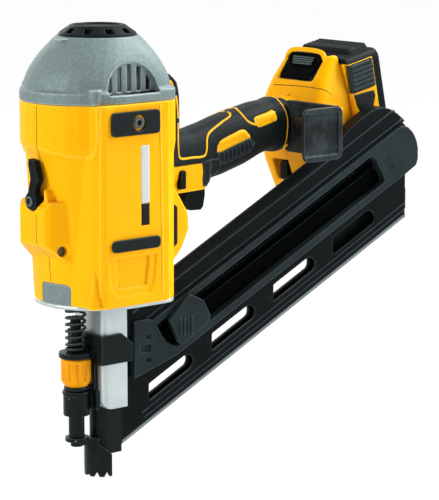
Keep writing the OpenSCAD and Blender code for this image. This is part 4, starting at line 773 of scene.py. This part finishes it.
# Parting lines of the housing: the dark joint between the halves and the joint round the foot
JOINT_WIDTH, JOINT_HEIGHT = 0.7, 0.06
BARREL_JOINT = [
    [(-57.7, -3.8, 260.6), (-57.7, -3.6, 250.7), (-57.8, -3.3, 236.6), (-56.5, -2.6, 229.3), (-53.4, -1.6, 222)],
    [(-60.5, -5.6, 184), (-60.5, -5.2, 176.6), (-60.5, -5.4, 166), (-57, -5.0, 158), (-49.2, -4.6, 152.8),
     (-48.5, -4.8, 142.8), (-48.0, -5.0, 134.4)]]
shell = skin_of("left_housing", "right_housing", "seam_cover")
for number, route in enumerate(BARREL_JOINT):
    joint = line_on(f"barrel_joint_{number}", shell, straight(route, LINE_STEP), JOINT_WIDTH, JOINT_HEIGHT)
    place(joint, "frame", "yellow_nylon", PARTING_LINE)
FOOT_JOINT = [(195.2, 27.3, 254.9), (195.5, 14.9, 255.5), (195.8, -1.8, 256.1), (196.4, -18.0, 255.9),
              (201.8, -23.4, 254.4), (208.2, -24.5, 250.2)]
joint = line_on("foot_joint", shell, eased(FOOT_JOINT, LINE_STEP), JOINT_WIDTH, JOINT_HEIGHT)
place(joint, "frame", "yellow_nylon", PARTING_LINE)

# Back of the battery: a raised field with finger ribs in its lower part
BATTERY_FIELD = [(257.5, -18, 266), (256.9, -14, 268.5), (256.9, 28, 268.5), (257.5, 32, 266), (271.5, 32, 200),
                 (272.1, 28, 197.5), (272.1, -14, 197.5), (271.5, -18, 200)]
FIELD_HEIGHT = 0.7
BATTERY_RIBS, BATTERY_RIB_PITCH, BATTERY_LEAN = 5, 5.0, 0.21
BATTERY_RIB_X, BATTERY_RIB_Z, BATTERY_RIB_ENDS = 270.9, 203, (-8, 22)
BATTERY_RIB_WIDTH, BATTERY_RIB_HEIGHT = 2.0, 1.5
cover = skin_of("battery_cover")
place(insert_on("battery_field", cover, BATTERY_FIELD, FIELD_HEIGHT), "battery", "black_nylon")
for number in range(BATTERY_RIBS):
    z = BATTERY_RIB_Z + BATTERY_RIB_PITCH * number
    x = BATTERY_RIB_X - BATTERY_LEAN * BATTERY_RIB_PITCH * number
    run = straight([(x, y, z) for y in BATTERY_RIB_ENDS], LINE_STEP)
    rib = line_on(f"battery_rib_{number}", cover, run, BATTERY_RIB_WIDTH, BATTERY_RIB_HEIGHT)
    place(rib, "battery", "black_nylon")

# Plain label films
PANEL_STRIP = [(0, -48.5, 191), (7.5, -48.5, 191), (7.5, -48.5, 232), (0, -48.5, 232)]
PANEL_STRIP_END = [(0, -48.5, 175), (7.5, -48.5, 175), (7.5, -48.5, 190.6), (0, -48.5, 190.6)]
GUARD_STRIP = [(41, -30, 148.5), (48.7, -30, 154.3), (48.8, -30, 180.9), (41, -30, 187)]
BATTERY_BAND = [(227.2, -29, 249.0), (248.6, -29, 251.8), (250.6, -29, 247), (248.8, -29, 240.5),
                (249.6, -29, 228), (238, -29, 222), (237.4, -29, 232), (230.6, -29, 240)]
film_on("panel_strip", shell, PANEL_STRIP, PALE_FILM, "frame", "yellow_nylon")
film_on("panel_strip_end", shell, PANEL_STRIP_END, BLACK_FILM, "frame", "yellow_nylon")
film_on("guard_strip", shell, GUARD_STRIP, BLACK_FILM, "frame", "yellow_nylon")
case = skin_of("battery_case", "left_release")
film_on("battery_band", case, BATTERY_BAND, BLACK_FILM, "battery", "yellow_nylon")

# Release window in the foot: a plain black plate, and a pad with finger ribs on it. Outlines are in millimetres
# across the tool and up the slope of the window.
WINDOW_AT = Vector((199.6, 0, 260.5))
WINDOW_UP, WINDOW_OUT = Vector((0.605, 0, 0.796)), Vector((-0.796, 0, 0.605))
WINDOW_PLATE = [(25.4, 2.6), (24.6, 0.9), (22.8, 0.1), (-5.4, -0.2), (-7.4, 0.4), (-8.6, 2.0), (-11.9, 20.5),
                (-11.9, 23.4), (25.9, 23.4), (25.9, 20.0)]
WINDOW_PAD = [(21.0, 19.4), (17.0, 11.3), (-4.8, 11.3), (-3.4, 19.4)]
# Ribs of the pad: number, height of the first, pitch, width; their ends, and how the ends move from rib to rib
PAD_RIBS, PAD_RIB_UP, PAD_RIB_PITCH, PAD_RIB_WIDTH = 4, 12.3, 1.9, 1.1
PAD_RIB_RIGHT, PAD_RIB_LEFT, RIGHT_SHIFT, LEFT_SHIFT = 17.0, -4.0, 0.9, 0.2


def plate(name, outline, low, high, rim):
    """Flat plate on the slope of the window, with a sloped rim."""
    middle = [sum(p[k] for p in outline) / len(outline) for k in (0, 1)]
    reach = max(max(abs(p[k] - middle[k]) for p in outline) for k in (0, 1))
    corners = []
    for height, inset in ((low, 0), (high - rim, 0), (high, rim / reach)):
        corners += [WINDOW_AT + Vector((0, p[0] + (middle[0] - p[0]) * inset, 0))
                    + WINDOW_UP * (p[1] + (middle[1] - p[1]) * inset) + WINDOW_OUT * height for p in outline]
    made = piece_of(name, corners, tube_faces(0, 3, len(outline)))
    made.data.shade_flat()
    return made


place(plate("window_plate", WINDOW_PLATE, low=-0.6, high=1.65, rim=0.4), "frame", "black_nylon", DULLEST_BLACK)
place(plate("window_pad", WINDOW_PAD, low=1.0, high=2.4, rim=0.5), "frame", "black_nylon", DULLEST_BLACK)
# The ribs are small coarse plates, so the paler tone of their finish's corners covers them whole: partly rubbing,
# partly painted highlight
for number in range(PAD_RIBS):
    up = PAD_RIB_UP + PAD_RIB_PITCH * number
    ends = PAD_RIB_RIGHT + RIGHT_SHIFT * number, PAD_RIB_LEFT + LEFT_SHIFT * number
    outline = [(ends[0], up), (ends[1], up), (ends[1], up + PAD_RIB_WIDTH), (ends[0], up + PAD_RIB_WIDTH)]
    rib = plate(f"window_rib_{number}", outline, low=2.0, high=3.0, rim=0.3)
    place(rib, "frame", "black_nylon", FILLED_BLACK)

# Arch of the foot over the window, in front of the battery's path: distance from the foot's middle, heights of its
# crown and of its underside
FOOT_Y, ARCH_FOOT, ARCH_FRONT, ARCH_SLOPE, ARCH_REAR = 7.0, 274.0, 207.8, 0.26, 212.0
ARCH = [(0, 284.4, 280.6), (8, 284.3, 280.6), (13, 284.0, 280.3), (16.0, 283.5, 279.6), (17.8, 282.9, 278.4),
        (19.4, 282.2, 276.0), (20.8, 281.0, 274.0), (21.8, 279.0, 272.0), (22.6, 275.6, 271.0)]
# Its front: share of the height, share at which the slope is read, step back. Its rear: share, step forward.
ARCH_FRONT_PROFILE = ((0, 0, 0), (0.55, 0.55, 0), (0.85, 0.85, 0.1), (0.97, 0.85, 0.5))
ARCH_REAR_PROFILE = ((1, 0.8), (0.92, 0.2), (0.7, 0), (0, 0))


def foot_arch():
    """Yellow arch that closes the release window over its top, from one shoulder of the foot to the other."""
    stations = [(FOOT_Y - d, crown, low) for d, crown, low in reversed(ARCH)]
    stations += [(FOOT_Y + d, crown, low) for d, crown, low in ARCH[1:]]
    corners = []
    for y, crown, low in stations:
        tall = crown - low
        corners += [(ARCH_FRONT + (low + tall * read - ARCH_FOOT) * ARCH_SLOPE + back, y, low + tall * share)
                    for share, read, back in ARCH_FRONT_PROFILE]
        corners += [(ARCH_REAR - forward, y, low + tall * share) for share, forward in ARCH_REAR_PROFILE]
    around = len(ARCH_FRONT_PROFILE) + len(ARCH_REAR_PROFILE)
    made = piece_of("foot_arch", corners, tube_faces(0, len(stations), around))
    soft = made.modifiers.new("soft", "SUBSURF")
    soft.levels = 2
    return settled(made)


place(foot_arch(), "frame", "yellow_nylon")

# Lever screw, turned: distance along the tool and radius of its shank, head and socket
LEVER_Z, TURNED_SIDES = 193.0, 40
LEVER_SCREW = [(-46.5, 2.2), (-61.5, 2.2), (-61.5, 3.6), (-62.7, 3.6), (-63.1, 3.2), (-63.1, 2.2), (-61.9, 2.0)]


def lever_screw():
    """Screw with a round socket, turned about its own line."""
    turns = [math.tau * k / TURNED_SIDES for k in range(TURNED_SIDES)]
    corners = [(x, radius * math.cos(turn), LEVER_Z + radius * math.sin(turn))
               for x, radius in LEVER_SCREW for turn in turns]
    made = piece_of("lever_screw", corners, tube_faces(0, len(LEVER_SCREW), TURNED_SIDES))
    made.data.shade_flat()
    return made


screw = place(lever_screw(), "frame", slot_of["lever_pin"], RUBBED_OXIDE)
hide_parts("lever_pin")

# Magazine: places given along it, out to its left and up its side, in millimetres
ALONG = Vector((0.854885, -0.138461, 0.5))
OUT = Vector((-0.159881, -0.987136, 0))
UP = Vector((-0.493568, 0.079941, 0.866025))


def on_magazine(along, out, up):
    """Place on the magazine, in the part's frame."""
    return ALONG * along + OUT * out + UP * up


MAGAZINE_RIDGES = {  # start and end along, out, up, width, height
    "head_ridge_high": (70, 343, 11, 79.6, 1.5, 0.7), "head_ridge_low": (70, 343, 11, 69.0, 1.4, 0.6),
    "foot_ridge_high": (40, 338, 6, 7.6, 1.3, 0.6), "foot_ridge_low": (40, 338, 6, 3.4, 1.3, 0.6),
}
extrusion = skin_of("magazine_body")
for name, (start, end, out, up, wide, high) in MAGAZINE_RIDGES.items():
    run = straight([on_magazine(start, out, up), on_magazine(end, out, up)], RIDGE_STEP)
    place(line_on(name, extrusion, run, wide, high), "frame", "black_magazine")

# Painted shade on the track floor: dull black sheets above and below the slot that the pusher runs in: lower and
# upper edge
TRACK_SHADE_SHEETS = {"track_liner_low": (37.0, 48.6), "track_liner_high": (55.4, 60.6)}
TRACK_OUT, SHADE_SHEET_HEIGHT, SHADE_SHEET_STEP = 6, 0.25, 2.4
for name, (low, high) in TRACK_SHADE_SHEETS.items():
    sheet = [on_magazine(a, TRACK_OUT, u) for a, u in ((88, low), (303, low), (303, high), (83, high))]
    place(insert_on(name, extrusion, sheet, SHADE_SHEET_HEIGHT, SHADE_SHEET_STEP), "frame", "black_magazine", DULLEST_BLACK)

# Pieces whose finish differs from their slot's
for name in ("magazine_cover", "magazine_tail", "pusher", "nail_stop", "left_release", "right_release"):
    dress(piece_for[name], FILLED_BLACK)
dress(piece_for["rafter_hook"], RUBBED_OXIDE)
dress(nodes["bumper_screws"], FINISH["black_oxide_steel"])

# Camera at the photograph's viewing angle
AIM, TILT = math.radians(41), math.radians(10.2)
CAMERA_AT = Vector((-1.0576, -1.3493, 0.4589))
ahead = Vector((math.sin(AIM) * math.cos(TILT), math.cos(AIM) * math.cos(TILT), -math.sin(TILT)))
right = Vector((math.cos(AIM), -math.sin(AIM), 0))
above = right.cross(ahead)
eye = bpy.data.cameras.new("photo_camera")
eye.lens = 172.8
eye.sensor_width = 36
eye.clip_end = 40
camera = bpy.data.objects.new("photo_camera", eye)
camera.matrix_world = Matrix((
    (right.x, above.x, -ahead.x, CAMERA_AT.x), (right.y, above.y, -ahead.y, CAMERA_AT.y),
    (right.z, above.z, -ahead.z, CAMERA_AT.z), (0, 0, 0, 1)))
scene.collection.objects.link(camera)
scene.camera = camera

# Soft studio light
CENTRE = Vector((0.08, 0, 0.15))


def softbox(name, at, size, power):
    """Square area lamp that looks at the part's centre."""
    lamp = bpy.data.lights.new(name, "AREA")
    lamp.shape = "SQUARE"
    lamp.size = size
    lamp.energy = power
    made = bpy.data.objects.new(name, lamp)
    made.location = at
    made.rotation_euler = (CENTRE - Vector(at)).to_track_quat("-Z", "Y").to_euler()
    scene.collection.objects.link(made)


softbox("key_softbox", (-3.2, 0.45, 1.6), 1.5, 92)
softbox("side_softbox", (1.35, -1.25, 0.8), 0.9, 17)
softbox("rear_softbox", (1.1, -0.3, 1.5), 0.8, 40)
softbox("far_softbox", (0.3, 1.6, 0.8), 1.2, 9)


def seen_plainly(tree):
    """1 for rays from the camera, from gloss and through glass, and 0 for the rays that light the object."""
    path = add(tree, "ShaderNodeLightPath")
    seen = add(tree, "ShaderNodeMath", {0: path.outputs["Is Camera Ray"], 1: path.outputs["Is Glossy Ray"]},
               operation="ADD")
    return add(tree, "ShaderNodeMath", {0: seen, 1: path.outputs["Is Transmission Ray"]}, operation="ADD",
               use_clamp=True)


SKY_LIGHT = 0.24
world = bpy.data.worlds.new("studio")
world.use_nodes = True
scene.world = world
sky = world.node_tree
level = add(sky, "ShaderNodeMapRange", {"Value": seen_plainly(sky), "To Min": SKY_LIGHT, "To Max": 1.0})
sky.links.new(level.outputs["Result"], sky.nodes["Background"].inputs["Strength"])
sky.nodes["Background"].inputs["Color"].default_value = (1, 1, 1, 1)

# White paper floor: plain white to the eye, with a share of lit paper that keeps the shadow
FLOOR, FLOOR_Z, PLAIN_SHARE = 14.0, cad_box[0][2] - 0.4 * MM, 0.92
floor_mesh = bpy.data.meshes.new("floor")
floor_mesh.from_pydata([(-FLOOR, -FLOOR, FLOOR_Z), (FLOOR, -FLOOR, FLOOR_Z), (FLOOR, FLOOR, FLOOR_Z),
                        (-FLOOR, FLOOR, FLOOR_Z)], [], [(0, 1, 2, 3)])
floor = bpy.data.objects.new("floor", floor_mesh)
scene.collection.objects.link(floor)
paper, ground, _ = blank("white_paper_floor")
dull = add(ground, "ShaderNodeBsdfDiffuse", {"Color": linear("#f4f4f4")})
glow = add(ground, "ShaderNodeEmission", {"Color": (1, 1, 1, 1), "Strength": 1.04})
share = add(ground, "ShaderNodeMath", {0: seen_plainly(ground), 1: PLAIN_SHARE}, operation="MULTIPLY")
both = add(ground, "ShaderNodeMixShader", {0: share, 1: dull, 2: glow})
add(ground, "ShaderNodeOutputMaterial", {"Surface": both})
dress(floor, paper)

scene.view_settings.view_transform = "Standard"
